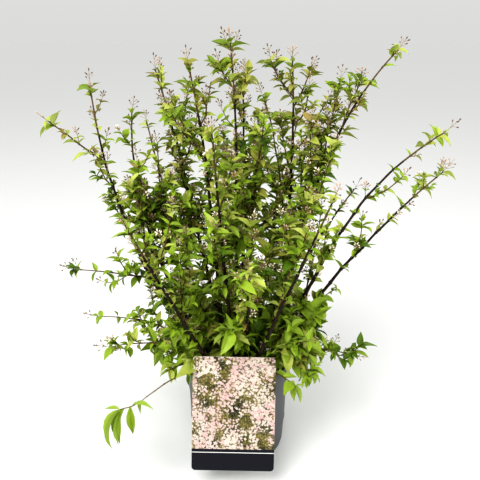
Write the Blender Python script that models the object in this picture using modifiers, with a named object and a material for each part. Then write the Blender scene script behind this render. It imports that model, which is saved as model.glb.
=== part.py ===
"""A young pink deutzia in its nursery pot.

The round pot is filled with compost and carries a plain picture card that hooks over its rim.
A short woody foot stands on the compost, and slim canes fan out of it. Each cane is bare at
its base and enters a mass of foliage of its own: a stem that runs on to the cane's tip, side
twigs, leaves in pairs and a spray of flower buds at the end. Short shoots round the foot
make the leafy skirt over the rim.

Metres, +Z up. The origin is the centre of the pot's underside, and the card faces -Y.
"""

import math
import random
from collections import namedtuple

import bmesh
import bpy
import numpy as np
from mathutils import Matrix, Vector
from mathutils.bvhtree import BVHTree

MM = 0.001
UP = Vector((0, 0, 1))
SEAT = 0.3 * MM  # clear space between two pieces that touch

# Pot: a three-litre nursery pot, turned about Z
POT_HEIGHT = 178 * MM
POT_WALL = 1.8 * MM
POT_FLOOR = 2.5 * MM
POT_FOOT_RADIUS = 79 * MM
POT_HEEL = (83 * MM, 11 * MM)  # radius and height where the chamfer of the foot ends
POT_RIB = (85.5 * MM, 54 * MM)
POT_NECK_RADIUS = 88.5 * MM
POT_RIM_RADIUS = 93.5 * MM
POT_RIM_DROP = 13 * MM
POT_SIDES = 36

# Compost, and the woody foot that the inner canes stand on
COMPOST_TOP = 158 * MM
COMPOST_FLAT = 78 * MM
FOOT_HEIGHT = 11 * MM
FOOT_FLARE = 43 * MM
FOOT_TOP = 35 * MM

# Picture card
CARD_WIDTH = 135 * MM
CARD_HEIGHT = 190 * MM
CARD_THICK = 0.8 * MM
CARD_CORNER = 6 * MM
CARD_LEAN = math.radians(16.5)
CARD_TURN = math.radians(1.1)
CARD_LOW_EDGE = 40 * MM
CARD_SHIFT = -6.5 * MM
HOOK_WIDTH = 20 * MM
HOOK_DEPTH = 14 * MM

# Canes: rings of feet as (radius, height), and girths
ON_FOOT = COMPOST_TOP + FOOT_HEIGHT + 2 * SEAT
ON_COMPOST = COMPOST_TOP + SEAT
RINGS = {
    "heart": (0.0, ON_FOOT),
    "inner": (27 * MM, ON_FOOT),
    "outer": (57 * MM, ON_COMPOST),
    "skirt": (70 * MM, ON_COMPOST),
}
EVENNESS = 0.4  # 0 puts each foot under its own tip, 1 spaces the feet evenly
CANE_RADIUS = 3.0 * MM
CANE_FLARE = 1.25
SHOOT_RADIUS = 2.0 * MM
TIP_RADIUS = 0.9 * MM
CANE_STEP = 55 * MM  # between the points of a cane's curve

# Foliage
NODE_STEP = 92 * MM  # between the leaf joints of a stem
TWIG_LENGTH = (30 * MM, 52 * MM)
TWIG_RADIUS = (1.2 * MM, 0.9 * MM)
TWIG_ANGLE = math.radians(48)
LEAF_LENGTH = (40 * MM, 54 * MM)
LEAF_WIDTH = 0.40  # of the length, as the rest of these
LEAF_WAIST = 0.38
LEAF_FOLD = 0.09
LEAF_DROOP = 0.13
LEAF_THICK = 1.5 * MM
LEAF_SUNK = 0.7 * MM
SPRAY_LENGTH = 26 * MM
BUD_LENGTH = 8 * MM
BUD_WIDTH = 3.6 * MM
CLEARANCE = 0.5 * MM
LEAST_LEAF_HEIGHT = 30 * MM
SEED = 11

# A cane leaves its foot and reaches its tip at these angles from upright. Its arms are side
# stems that fork off at a share of its length. The mass of foliage begins at `bare`.
Arm = namedtuple("Arm", "at tip leave arrive")
Cane = namedtuple("Cane", "name ring tip leave arrive bare arms")
CANES = (
    Cane("left_high", "outer", (-0.226, 0.020, 0.662), 34, 2, 0.30, (
        Arm(0.34, (-0.304, 0.000, 0.342), 82, 88),
        Arm(0.75, (-0.302, -0.030, 0.604), 66, 64),
    )),
    Cane("left_mid", "outer", (-0.168, 0.060, 0.618), 30, -10, 0.33, ()),
    Cane("left_tall", "inner", (-0.143, 0.100, 0.680), 20, 22, 0.38, ()),
    Cane("middle_left", "inner", (-0.078, 0.000, 0.698), 3, 12, 0.30, (
        Arm(0.66, (-0.102, -0.040, 0.628), 30, 12),
    )),
    Cane("middle_high", "heart", (-0.012, -0.020, 0.728), 2, 10, 0.34, ()),
    Cane("middle_right", "outer", (0.081, 0.020, 0.700), 10, -4, 0.32, (
        Arm(0.70, (0.160, 0.030, 0.632), 55, 60),
        Arm(0.83, (0.122, 0.045, 0.682), 45, 30),
    )),
    Cane("right_high", "outer", (0.262, 0.030, 0.708), 14, 48, 0.32, (
        Arm(0.72, (0.200, 0.055, 0.668), 22, 15),
    )),
    Cane("right_upper", "outer", (0.330, -0.030, 0.588), 24, 62, 0.36, ()),
    Cane("right_lower", "outer", (0.358, 0.040, 0.516), 32, 52, 0.34, ()),
    Cane("front_left", "outer", (-0.150, -0.185, 0.500), 30, 26, 0.34, ()),
    Cane("front_middle", "inner", (0.015, -0.250, 0.455), 22, 46, 0.34, ()),
    Cane("front_right", "outer", (0.132, -0.180, 0.540), 22, 24, 0.36, ()),
    Cane("front_high", "inner", (-0.035, -0.125, 0.615), 14, 14, 0.34, ()),
    Cane("back_left", "outer", (-0.175, 0.190, 0.585), 30, 20, 0.36, ()),
    Cane("back_middle", "outer", (-0.030, 0.265, 0.545), 26, 38, 0.34, ()),
    Cane("back_right", "outer", (0.120, 0.230, 0.580), 26, 26, 0.36, ()),
    Cane("back_high", "inner", (0.010, 0.130, 0.672), 12, 12, 0.36, ()),
    Cane("back_low", "outer", (0.235, 0.160, 0.455), 34, 52, 0.36, ()),
)
SKIRT = (
    Cane("skirt_left", "skirt", (-0.276, 0.020, 0.238), 22, 100, 0, ()),
    Cane("skirt_left_low", "skirt", (-0.240, -0.050, 0.212), 16, 108, 0, ()),
    Cane("skirt_droop", "skirt", (-0.176, -0.138, 0.150), 6, 128, 0, ()),
    Cane("skirt_front_left", "inner", (-0.118, -0.120, 0.300), 22, 60, 0, ()),
    Cane("skirt_front", "inner", (-0.020, -0.125, 0.300), 24, 62, 0, ()),
    Cane("skirt_front_right", "skirt", (0.135, -0.112, 0.268), 6, 82, 0, ()),
    Cane("skirt_right_low", "skirt", (0.222, -0.030, 0.178), 12, 124, 0, ()),
    Cane("skirt_right", "skirt", (0.205, 0.070, 0.285), 26, 75, 0, ()),
    Cane("skirt_back_right", "skirt", (0.135, 0.175, 0.230), 7, 108, 0, ()),
    Cane("skirt_back", "skirt", (-0.010, 0.205, 0.250), 18, 98, 0, ()),
    Cane("skirt_back_left", "skirt", (-0.150, 0.165, 0.222), 6, 112, 0, ()),
)

# A stem of a mass: the points of its middle line and its radius at both ends
Stem = namedtuple("Stem", "points start_radius end_radius")


def material(name, colour, roughness):
    made = bpy.data.materials.new(name)
    made.use_nodes = True
    shader = made.node_tree.nodes["Principled BSDF"]
    shader.inputs["Base Color"].default_value = (*colour, 1)
    shader.inputs["Roughness"].default_value = roughness
    shader.inputs["Metallic"].default_value = 0
    made.diffuse_color = (*colour, 1)
    return made


def clear_scene():
    for thing in list(bpy.data.objects):
        bpy.data.objects.remove(thing)


def new_collection(name):
    made = bpy.data.collections.new(name)
    bpy.context.scene.collection.children.link(made)
    return made


def mesh_object(name, bm, collection, look=None):
    mesh = bpy.data.meshes.new(name)
    bm.to_mesh(mesh)
    bm.free()
    made = bpy.data.objects.new(name, mesh)
    if look:
        mesh.materials.append(look)
    collection.objects.link(made)
    return made


def turned(name, profile, collection, look):
    """A closed profile of (radius, height) points turned about Z, running down its outer side."""
    bm = bmesh.new()
    corners = [bm.verts.new((radius, 0, height)) for radius, height in profile]
    for first, second in zip(corners, corners[1:]):
        bm.edges.new((first, second))
    made = mesh_object(name, bm, collection, look)
    screw = made.modifiers.new("turn", "SCREW")
    screw.steps = screw.render_steps = POT_SIDES
    screw.use_merge_vertices = True
    screw.merge_threshold = 1e-5
    screw.use_smooth_shade = False
    return made


def pot_inner_radius(height):
    """Radius of the pot's inner wall, which follows its outer one."""
    heel, rib = POT_HEEL, POT_RIB
    neck = (POT_NECK_RADIUS, POT_HEIGHT - POT_RIM_DROP)
    (low_radius, low), (high_radius, high) = (heel, rib) if height < rib[1] else (rib, neck)
    share = (height - low) / (high - low)
    return low_radius + (high_radius - low_radius) * share - POT_WALL


def make_pot(collection, look):
    rib_radius, rib_height = POT_RIB
    rim_base = POT_HEIGHT - POT_RIM_DROP
    outer = (
        (POT_RIM_RADIUS - 0.8 * MM, POT_HEIGHT),
        (POT_RIM_RADIUS, POT_HEIGHT - 1.2 * MM),
        (POT_RIM_RADIUS - 0.4 * MM, rim_base),
        (POT_NECK_RADIUS, rim_base - 1.5 * MM),
        (rib_radius + 0.4 * MM, rib_height + 2 * MM),
        (rib_radius + 1.2 * MM, rib_height),
        (rib_radius - 0.2 * MM, rib_height - 2 * MM),
        POT_HEEL,
        (POT_FOOT_RADIUS, 0),
    )
    inner = (
        (pot_inner_radius(POT_FLOOR), POT_FLOOR),
        (pot_inner_radius(rib_height), rib_height),
        (pot_inner_radius(rim_base), rim_base),
        (pot_inner_radius(POT_HEIGHT), POT_HEIGHT),
    )
    profile = (*outer, (0, 0), (0, POT_FLOOR), *inner, outer[0])
    turned("pot", profile, collection, look)


def make_compost(collection, look):
    """The pot's filling, level under the canes and lower at the wall."""
    bottom = POT_FLOOR + SEAT
    rib_height = POT_RIB[1]
    profile = (
        (0, COMPOST_TOP),
        (COMPOST_FLAT, COMPOST_TOP),
        (pot_inner_radius(COMPOST_TOP) - 2 * SEAT, COMPOST_TOP - 3 * MM),
        (pot_inner_radius(rib_height) - 2 * SEAT, rib_height),
        (pot_inner_radius(bottom) - 2 * SEAT, bottom),
        (0, bottom),
    )
    turned("compost", profile, collection, look)


def make_foot(collection, look):
    """The short woody stem that the inner canes spring from, cut flat at the compost."""
    low = COMPOST_TOP + SEAT
    profile = (
        (0, low + FOOT_HEIGHT),
        (FOOT_TOP, low + FOOT_HEIGHT),
        (FOOT_TOP + 2 * MM, low + 0.6 * FOOT_HEIGHT),
        (FOOT_FLARE, low),
        (0, low),
    )
    turned("stem_foot", profile, collection, look)


def make_card(collection, look):
    """A card with round corners that leans on the rim, with a hook behind it over the wall."""
    bm = bmesh.new()
    bmesh.ops.create_cube(bm, size=1, matrix=Matrix.Diagonal((CARD_WIDTH, CARD_THICK, CARD_HEIGHT, 1)))
    upright = [e for e in bm.edges if abs(e.verts[0].co.y - e.verts[1].co.y) > 0.5 * CARD_THICK]
    bmesh.ops.bevel(bm, geom=upright, offset=CARD_CORNER, segments=3, profile=0.5,
                    affect="EDGES", material=-1)
    turn = Matrix.Rotation(CARD_TURN, 4, "Y")
    lean = Matrix.Rotation(-CARD_LEAN, 4, "X")
    middle_height = CARD_LOW_EDGE + 0.5 * CARD_HEIGHT * math.cos(CARD_LEAN)
    past_rim = (POT_HEIGHT - middle_height) * math.tan(CARD_LEAN)
    face_gap = (0.5 * CARD_THICK + SEAT) / math.cos(CARD_LEAN)
    middle = Vector((CARD_SHIFT, -POT_RIM_RADIUS - past_rim - face_gap, middle_height))
    bm.transform(Matrix.Translation(middle) @ lean @ turn)
    card = mesh_object("card", bm, collection, look)

    wall = pot_inner_radius(POT_HEIGHT)
    hook_top = POT_HEIGHT + 2 * SEAT + CARD_THICK
    leg_front = -math.sqrt(wall ** 2 - (0.5 * HOOK_WIDTH - CARD_SHIFT) ** 2) + 3 * SEAT
    card_back = -POT_RIM_RADIUS
    boxes = (
        (card_back, leg_front + CARD_THICK, hook_top - CARD_THICK, hook_top),
        (leg_front, leg_front + CARD_THICK, POT_HEIGHT - HOOK_DEPTH, hook_top - 0.1 * MM),
    )
    hooks = new_collection("card hook")
    for front, back, low, high in boxes:
        bm = bmesh.new()
        size = Matrix.Diagonal((HOOK_WIDTH, back - front, high - low, 1))
        bmesh.ops.create_cube(bm, size=1, matrix=size)
        bm.transform(Matrix.Translation((CARD_SHIFT, 0.5 * (front + back), 0.5 * (low + high))))
        mesh_object("hook", bm, hooks)
    fuse(card, hooks)
    return card


def on_bezier(corners, share):
    first, second, third, last = corners
    rest = 1 - share
    return (first * rest ** 3 + second * (3 * rest * rest * share)
            + third * (3 * rest * share * share) + last * share ** 3)


def sway(start, tip, leave, arrive):
    """Corners of the Bezier curve from start to tip that leaves and arrives at these angles from upright."""
    tip = Vector(tip)
    out = Vector((tip.x - start.x, tip.y - start.y, 0))
    out = out.normalized() if out.length > MM else Vector((1, 0, 0))
    handle = 0.36 * (tip - start).length

    def heading(degrees):
        angle = math.radians(degrees)
        return out * math.sin(angle) + UP * math.cos(angle)

    return start, start + heading(leave) * handle, tip - heading(arrive) * handle, tip


def middle_line(corners, begin, end):
    """Points along the curve from share begin to share end, with short straight ends."""
    size = (corners[3] - corners[0]).length * (end - begin)
    count = max(4, round(size / CANE_STEP))
    points = [on_bezier(corners, begin + (end - begin) * i / count) for i in range(count + 1)]
    first = (points[1] - points[0]).normalized()
    last = (points[-1] - points[-2]).normalized()
    return [points[0], points[0] + first * 2 * MM, *points[1:-1], points[-1] - last * 2 * MM, points[-1]]


def tube(name, points, radii, sides, collection):
    """A tapering tube with closed ends, as a curve object with 4, 6 or 8 sides."""
    curve = bpy.data.curves.new(name, "CURVE")
    curve.dimensions = "3D"
    curve.bevel_depth = MM
    curve.bevel_resolution = (sides - 4) // 2
    curve.use_fill_caps = True
    spline = curve.splines.new("POLY")
    spline.points.add(len(points) - 1)
    for spot, point, radius in zip(spline.points, points, radii):
        spot.co = (*point, 1)
        spot.radius = radius / MM
    made = bpy.data.objects.new(name, curve)
    collection.objects.link(made)
    return made


def as_mesh(curve_object, collection):
    """The curve object's shape as a closed mesh object, in place of the curve."""
    name = curve_object.name
    graph = bpy.context.evaluated_depsgraph_get()
    mesh = bpy.data.meshes.new_from_object(curve_object.evaluated_get(graph))
    bpy.data.objects.remove(curve_object)
    bm = bmesh.new()
    bm.from_mesh(mesh)
    bmesh.ops.remove_doubles(bm, verts=bm.verts, dist=1e-5)
    bmesh.ops.recalc_face_normals(bm, faces=bm.faces)
    return mesh_object(name, bm, collection)


def is_closed(mesh):
    bm = bmesh.new()
    bm.from_mesh(mesh)
    closed = bool(bm.faces) and all(edge.is_manifold for edge in bm.edges)
    bm.free()
    return closed


def keep_main_body(mesh):
    """Fills hollows and drops loose scraps: only the largest closed shell stays."""
    bm = bmesh.new()
    bm.from_mesh(mesh)
    bmesh.ops.triangulate(bm, faces=bm.faces)
    unseen = set(bm.verts)
    shells = []
    while unseen:
        edge_of_shell = [unseen.pop()]
        shell = set(edge_of_shell)
        while edge_of_shell:
            for edge in edge_of_shell.pop().link_edges:
                for corner in edge.verts:
                    if corner in unseen:
                        unseen.remove(corner)
                        shell.add(corner)
                        edge_of_shell.append(corner)
        shells.append(shell)
    main = max(shells, key=len)
    bmesh.ops.delete(bm, geom=[v for shell in shells if shell is not main for v in shell])
    bm.to_mesh(mesh)
    bm.free()


def fuse(base, parts):
    """Joins every object of the collection `parts` to base, and removes them."""
    bare = base.data.copy()
    for solver in ("EXACT", "MANIFOLD"):
        union = base.modifiers.new("fuse", "BOOLEAN")
        union.operation = "UNION"
        union.operand_type = "COLLECTION"
        union.collection = parts
        union.solver = solver
        bpy.context.view_layer.update()
        graph = bpy.context.evaluated_depsgraph_get()
        joined = bpy.data.meshes.new_from_object(base.evaluated_get(graph))
        base.modifiers.remove(union)
        if is_closed(joined):
            break
        base.data = bare
    base.data = joined
    keep_main_body(joined)
    for part in list(parts.objects):
        bpy.data.objects.remove(part)
    bpy.data.collections.remove(parts)


def facing(along, face):
    """Rotation whose Z runs along, and whose Y is the nearest to face."""
    along = along.normalized()
    across = face.cross(along)
    if across.length < 1e-4:
        across = Vector((1, 0, 0)).cross(along)
    across.normalize()
    return Matrix((across, along.cross(across), along)).transposed().to_4x4()


def leaf_shape(root, along, face, length, spare=0.0):
    """An eight-faced leaf: stalk end sunk in its twig, sides folded up, tip arched over."""
    bm = bmesh.new()
    bmesh.ops.create_uvsphere(bm, u_segments=4, v_segments=2, radius=1)
    half_width = 0.5 * LEAF_WIDTH * length + spare
    half_thick = 0.5 * LEAF_THICK + spare
    for corner in bm.verts:
        side, thick, end = corner.co
        height = (-LEAF_SUNK, LEAF_WAIST * length, length + spare)[round(end) + 1]
        lift = LEAF_FOLD * length * abs(round(side)) - LEAF_DROOP * length * max(0, round(end))
        corner.co = (side * half_width, thick * half_thick + lift, height)
    bm.transform(Matrix.Translation(root) @ facing(along, face))
    return bm


def twig_shape(root, along, length, spare=0.0):
    bm = bmesh.new()
    base, end = TWIG_RADIUS
    bmesh.ops.create_cone(bm, segments=3, cap_ends=True, radius1=base + spare,
                          radius2=end + spare, depth=length)
    lift = Matrix.Translation((0, 0, 0.5 * length))
    bm.transform(Matrix.Translation(root) @ facing(along, UP) @ lift)
    return bm


def bud_shape(root, along):
    bm = bmesh.new()
    bmesh.ops.create_uvsphere(bm, u_segments=4, v_segments=2, radius=1)
    size = Matrix.Diagonal((0.5 * BUD_WIDTH, 0.5 * BUD_WIDTH, 0.5 * BUD_LENGTH, 1))
    lift = Matrix.Translation((0, 0, 0.42 * BUD_LENGTH))
    bm.transform(Matrix.Translation(root) @ facing(along, UP) @ lift @ size)
    return bm


def walk(points, distance):
    """Point and heading at this distance along a line of points."""
    for first, second in zip(points, points[1:]):
        step = (second - first).length
        if distance <= step:
            return first.lerp(second, distance / step), (second - first).normalized()
        distance -= step
    return points[-1], (points[-1] - points[-2]).normalized()


def line_length(points):
    return sum((b - a).length for a, b in zip(points, points[1:]))


class Space:
    """What is already standing, so that a new twig or leaf can be refused."""

    def __init__(self):
        self.solid = []  # search trees of pot, card, canes and stems
        self.pieces = []  # (joint, middle, reach, search tree) of each twig and leaf
        self.stem_spots = {}  # points along the stems of each mass

    def add_object(self, thing):
        graph = bpy.context.evaluated_depsgraph_get()
        self.solid.append((None, BVHTree.FromObject(thing, graph)))

    def add_stems(self, name, stems, trees):
        spots = []
        for stem in stems:
            length = line_length(stem.points)
            for i in range(int(length / (10 * MM)) + 1):
                spots.append(walk(stem.points, i * 10 * MM)[0])
        self.stem_spots[name] = np.array(spots)
        self.solid += [(name, tree) for tree in trees]

    def own(self, name, middle):
        """True where the stem of this mass is the nearest one."""
        away = {other: np.linalg.norm(spots - np.array(middle), axis=1).min()
                for other, spots in self.stem_spots.items()}
        return min(away, key=away.get) == name

    def free(self, name, joint, bm, middle, reach):
        tree = BVHTree.FromBMesh(bm)
        if min(corner.co.z for corner in bm.verts) < LEAST_LEAF_HEIGHT:
            return False
        if any(owner != name and tree.overlap(other) for owner, other in self.solid):
            return False
        return not any(
            other_joint != joint
            and (other_middle - middle).length < reach + other_reach
            and tree.overlap(other)
            for other_joint, other_middle, other_reach, other in self.pieces
        )

    def take(self, joint, bm, middle, reach):
        self.pieces.append((joint, middle, reach, BVHTree.FromBMesh(bm)))


class Mass:
    """One mass of foliage, grown from its stems by a seeded rule."""

    def __init__(self, name, stems, space):
        self.name = name
        self.stems = stems
        self.space = space
        self.chance = random.Random(f"{SEED} {name}")
        self.parts = new_collection(f"{name} parts")
        self.leaves = 0

    def try_twig(self, joint, root, along, length):
        middle = root + along * 0.5 * length
        begun = root + along * 3 * MM
        test = twig_shape(begun, along, length - 3 * MM, CLEARANCE)
        fits = self.space.free(self.name, joint, test, middle, 0.5 * length)
        test.free()
        if not fits or not self.space.own(self.name, middle):
            return False
        bm = twig_shape(root, along, length)
        self.space.take(joint, bm, middle, 0.5 * length)
        mesh_object("twig", bm, self.parts)
        return True

    def try_leaf(self, joint, root, along, length):
        roll = self.chance.uniform(-0.7, 0.7)
        face = Matrix.Rotation(roll, 3, along) @ UP
        middle = root + along * 0.6 * length
        test = leaf_shape(root, along, face, length, CLEARANCE)
        fits = self.space.free(self.name, joint, test, middle, 0.6 * length)
        test.free()
        if not fits or not self.space.own(self.name, middle):
            return False
        bm = leaf_shape(root, along, face, length)
        self.space.take(joint, bm, middle, 0.6 * length)
        mesh_object("leaf", bm, self.parts)
        self.leaves += 1
        return True

    def leaf_length(self):
        return self.chance.uniform(*LEAF_LENGTH)

    def leaf_pair(self, joint, root, along, out):
        """Two leaves on opposite sides of a twig's end, leaning forward and a little down."""
        for side in (1, -1):
            spread = (along * 0.75 + out * side - UP * 0.15).normalized()
            seat = root + along * side * 0.8 * MM
            self.try_leaf(joint, seat, spread, self.leaf_length())

    def spray(self, joint, root, along, out):
        """The buds at a stem's end: a thin stalk with one bud at its end and one beside it."""
        stalk_end = root + along * SPRAY_LENGTH
        if not self.try_twig(joint, root - along * 4 * MM, along, SPRAY_LENGTH + 4 * MM):
            return
        mesh_object("bud", bud_shape(stalk_end - along * MM, along), self.parts)
        side_bud = (along + out * 1.2).normalized()
        mesh_object("bud", bud_shape(root.lerp(stalk_end, 0.55), side_bud), self.parts)

    def grow(self, stem, number):
        length = line_length(stem.points)
        count = max(2, round(length / NODE_STEP))
        turn = self.chance.uniform(0, math.tau)
        for i in range(count):
            at = length * (i + 0.35 + self.chance.uniform(-0.12, 0.12)) / count
            root, heading = walk(stem.points, at)
            turn += math.radians(90 + self.chance.uniform(-25, 25))
            out = heading.orthogonal().normalized()
            out = Matrix.Rotation(turn, 3, heading) @ out
            joint = (self.name, number, i)
            low, high = TWIG_LENGTH
            size = (high + (low - high) * at / length) * self.chance.uniform(0.8, 1.2)
            rise = heading * math.cos(TWIG_ANGLE) + out * math.sin(TWIG_ANGLE)
            if self.try_twig(joint, root, rise, size):
                across = rise.cross(heading).normalized()
                self.leaf_pair(joint, root + rise * (size - 2 * MM), rise, across)
            back = (heading * 0.45 - out + UP * 0.1).normalized()
            self.try_leaf((*joint, "back"), root + heading * 3 * MM, back, self.leaf_length())
        tip, heading = walk(stem.points, length)
        out = heading.orthogonal().normalized()
        out = Matrix.Rotation(turn, 3, heading) @ out
        joint = (self.name, number, "tip")
        self.leaf_pair(joint, tip - heading * 2 * MM, heading, out)
        self.spray(joint, tip, heading, heading.cross(out))


def feet_of(plants):
    """Start point of each cane, on its ring between its tip's bearing and an even place."""
    feet = {}
    for ring, (radius, height) in RINGS.items():
        members = [cane for cane in plants if cane.ring == ring]
        bearing = {cane.name: math.atan2(cane.tip[1], cane.tip[0]) for cane in members}
        members.sort(key=lambda cane: bearing[cane.name])
        step = math.tau / max(1, len(members))
        start = sum(bearing[cane.name] - i * step for i, cane in enumerate(members))
        start /= max(1, len(members))
        for i, cane in enumerate(members):
            own = bearing[cane.name]
            angle = own + EVENNESS * (start + i * step - own)
            feet[cane.name] = Vector(
                (radius * math.cos(angle), radius * math.sin(angle), height)
            )
    return feet


def radii_along(points, start, end):
    return [start + (end - start) * i / (len(points) - 1) for i in range(len(points))]


def make_cane(cane, foot, collection, wood):
    """The bare limb from the foot up to where the foliage begins. Returns the curve's corners."""
    corners = sway(foot + UP * 5 * MM, cane.tip, cane.leave, cane.arrive)
    if cane.bare:
        points = [foot, foot + UP * 2 * MM, *middle_line(corners, 0.012, cane.bare)[2:]]
        radii = radii_along(points, CANE_RADIUS, SHOOT_RADIUS)
        radii[0] *= CANE_FLARE
        limb = tube(f"cane_{cane.name}", points, radii, 6, collection)
        limb.data.materials.append(wood)
    return corners


def stems_of(cane, foot, corners):
    """Stem points of a mass: the shoot that runs on from the cane, and its arms."""
    gap = SEAT / (corners[3] - corners[0]).length
    tip_gap = SPRAY_LENGTH / (corners[3] - corners[0]).length
    if cane.bare:
        points = middle_line(corners, cane.bare + 1.2 * gap, 1 - tip_gap)
    else:
        points = [foot, foot + UP * 2 * MM, *middle_line(corners, 0.02, 1 - tip_gap)[2:]]
    stems = [Stem(points, SHOOT_RADIUS, TIP_RADIUS)]
    for arm in cane.arms:
        start = on_bezier(corners, max(arm.at, cane.bare + 0.02))
        bend = sway(start, arm.tip, arm.leave, arm.arrive)
        short = SPRAY_LENGTH / (bend[3] - bend[0]).length
        stems.append(Stem(middle_line(bend, 0, 1 - short), 1.5 * MM, TIP_RADIUS))
    return stems


def stem_objects(name, stems, collection):
    made = []
    for number, stem in enumerate(stems):
        radii = radii_along(stem.points, stem.start_radius, stem.end_radius)
        label = name if number == 0 else f"{name} arm"
        made.append(as_mesh(tube(label, stem.points, radii, 4, collection), collection))
    return made


def make_plant(collection, wood, green, others):
    space = Space()
    for thing in others:
        space.add_object(thing)
    plants = (*CANES, *SKIRT)
    feet = feet_of(plants)
    masses = []
    for cane in plants:
        corners = make_cane(cane, feet[cane.name], collection, wood)
        stems = stems_of(cane, feet[cane.name], corners)
        name = f"foliage_{cane.name}" if cane.bare else cane.name
        masses.append((name, stems))
    bpy.context.view_layer.update()
    for limb in [thing for thing in collection.objects if thing.name.startswith("cane_")]:
        space.add_object(limb)
    bodies = {}
    for name, stems in masses:
        bodies[name] = stem_objects(name, stems, collection)
        bpy.context.view_layer.update()
        graph = bpy.context.evaluated_depsgraph_get()
        trees = [BVHTree.FromObject(body, graph) for body in bodies[name]]
        space.add_stems(name, stems, trees)
    for name, stems in masses:
        mass = Mass(name, stems, space)
        for number, stem in enumerate(stems):
            mass.grow(stem, number)
        main, *arms = bodies[name]
        for arm in arms:
            collection.objects.unlink(arm)
            mass.parts.objects.link(arm)
        fuse(main, mass.parts)
        main.data.materials.clear()
        main.data.materials.append(green)


def main():
    clear_scene()
    parts = new_collection("potted pink deutzia")
    grey = material("pot grey", (0.075, 0.078, 0.080), 0.55)
    earth = material("compost", (0.045, 0.030, 0.020), 0.95)
    bark = material("bark", (0.090, 0.050, 0.035), 0.8)
    green = material("foliage", (0.210, 0.360, 0.050), 0.6)
    paper = material("card", (0.780, 0.620, 0.640), 0.4)
    make_pot(parts, grey)
    make_compost(parts, earth)
    make_foot(parts, bark)
    make_card(parts, paper)
    bpy.context.view_layer.update()
    make_plant(parts, bark, green, list(parts.objects))


if __name__ == "__main__":
    main()
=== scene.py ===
"""Looks of a young pink deutzia in its nursery pot.

The canes, side twigs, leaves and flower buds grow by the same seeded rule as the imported
solids, from the same table of canes, and are carried on here to finer twigs. The pot, the
compost and the picture card stand where their solids do.

Metres, +Z up. The origin is the centre of the pot's underside, and the card faces -Y.
"""

import functools
import math
import random
from collections import namedtuple

import bmesh
import bpy
import numpy as np
from bpy.props import FloatProperty, FloatVectorProperty, IntProperty, PointerProperty
from mathutils import Matrix, Vector, noise


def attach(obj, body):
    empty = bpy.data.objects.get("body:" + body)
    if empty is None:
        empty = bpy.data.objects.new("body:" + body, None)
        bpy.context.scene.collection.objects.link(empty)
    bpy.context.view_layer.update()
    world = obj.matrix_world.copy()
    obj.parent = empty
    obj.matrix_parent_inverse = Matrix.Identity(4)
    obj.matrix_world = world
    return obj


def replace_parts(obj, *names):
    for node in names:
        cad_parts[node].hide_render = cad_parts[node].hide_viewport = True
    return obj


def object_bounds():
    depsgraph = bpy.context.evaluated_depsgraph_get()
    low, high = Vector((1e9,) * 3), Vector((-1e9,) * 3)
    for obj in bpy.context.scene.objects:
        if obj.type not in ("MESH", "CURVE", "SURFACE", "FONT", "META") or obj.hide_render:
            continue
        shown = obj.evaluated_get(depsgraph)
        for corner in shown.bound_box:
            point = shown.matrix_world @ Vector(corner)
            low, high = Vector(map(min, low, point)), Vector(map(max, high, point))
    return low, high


bl_info = {
    "name": "Potted pink deutzia",
    "version": (1, 0, 0),
    "blender": (4, 5, 0),
    "location": "View3D > Sidebar > Deutzia",
    "description": "Grows a young pink deutzia in its nursery pot",
    "category": "Add Mesh",
}

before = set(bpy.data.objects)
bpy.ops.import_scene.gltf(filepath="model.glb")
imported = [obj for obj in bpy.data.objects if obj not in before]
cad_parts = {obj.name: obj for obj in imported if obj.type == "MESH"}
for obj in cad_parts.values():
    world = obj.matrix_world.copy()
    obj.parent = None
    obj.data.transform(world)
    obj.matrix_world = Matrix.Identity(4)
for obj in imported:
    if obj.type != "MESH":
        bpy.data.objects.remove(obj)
CAD_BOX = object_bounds()
NODES = sorted(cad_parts)

MM = 0.001
UP = Vector((0, 0, 1))
SEAT = 0.3 * MM

# Pot, compost, woody foot and card, as in the source
POT_HEIGHT = 178 * MM
POT_WALL = 1.8 * MM
POT_FLOOR = 2.5 * MM
POT_FOOT_RADIUS = 79 * MM
POT_HEEL = (83 * MM, 11 * MM)
POT_RIB = (85.5 * MM, 54 * MM)
POT_NECK_RADIUS = 88.5 * MM
POT_RIM_RADIUS = 93.5 * MM
POT_RIM_DROP = 13 * MM
COMPOST_TOP = 158 * MM
COMPOST_FLAT = 78 * MM
FOOT_HEIGHT = 11 * MM
FOOT_FLARE = 43 * MM
FOOT_TOP = 35 * MM
CARD_WIDTH = 135 * MM
CARD_HEIGHT = 190 * MM
CARD_THICK = 0.8 * MM
CARD_CORNER = 6 * MM
CARD_LEAN = math.radians(16.5)
CARD_TURN = math.radians(1.1)
CARD_LOW_EDGE = 40 * MM
CARD_SHIFT = -6.5 * MM
HOOK_WIDTH = 20 * MM
HOOK_DEPTH = 14 * MM

# Canes, as in the source
ON_FOOT = COMPOST_TOP + FOOT_HEIGHT + 2 * SEAT
ON_COMPOST = COMPOST_TOP + SEAT
RINGS = {
    "heart": (0.0, ON_FOOT),
    "inner": (27 * MM, ON_FOOT),
    "outer": (57 * MM, ON_COMPOST),
    "skirt": (70 * MM, ON_COMPOST),
}
EVENNESS = 0.4
CANE_RADIUS = 3.0 * MM
CANE_FLARE = 1.25
SHOOT_RADIUS = 2.0 * MM
TIP_RADIUS = 0.9 * MM
SPRAY_LENGTH = 26 * MM
SEED = 11

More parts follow.
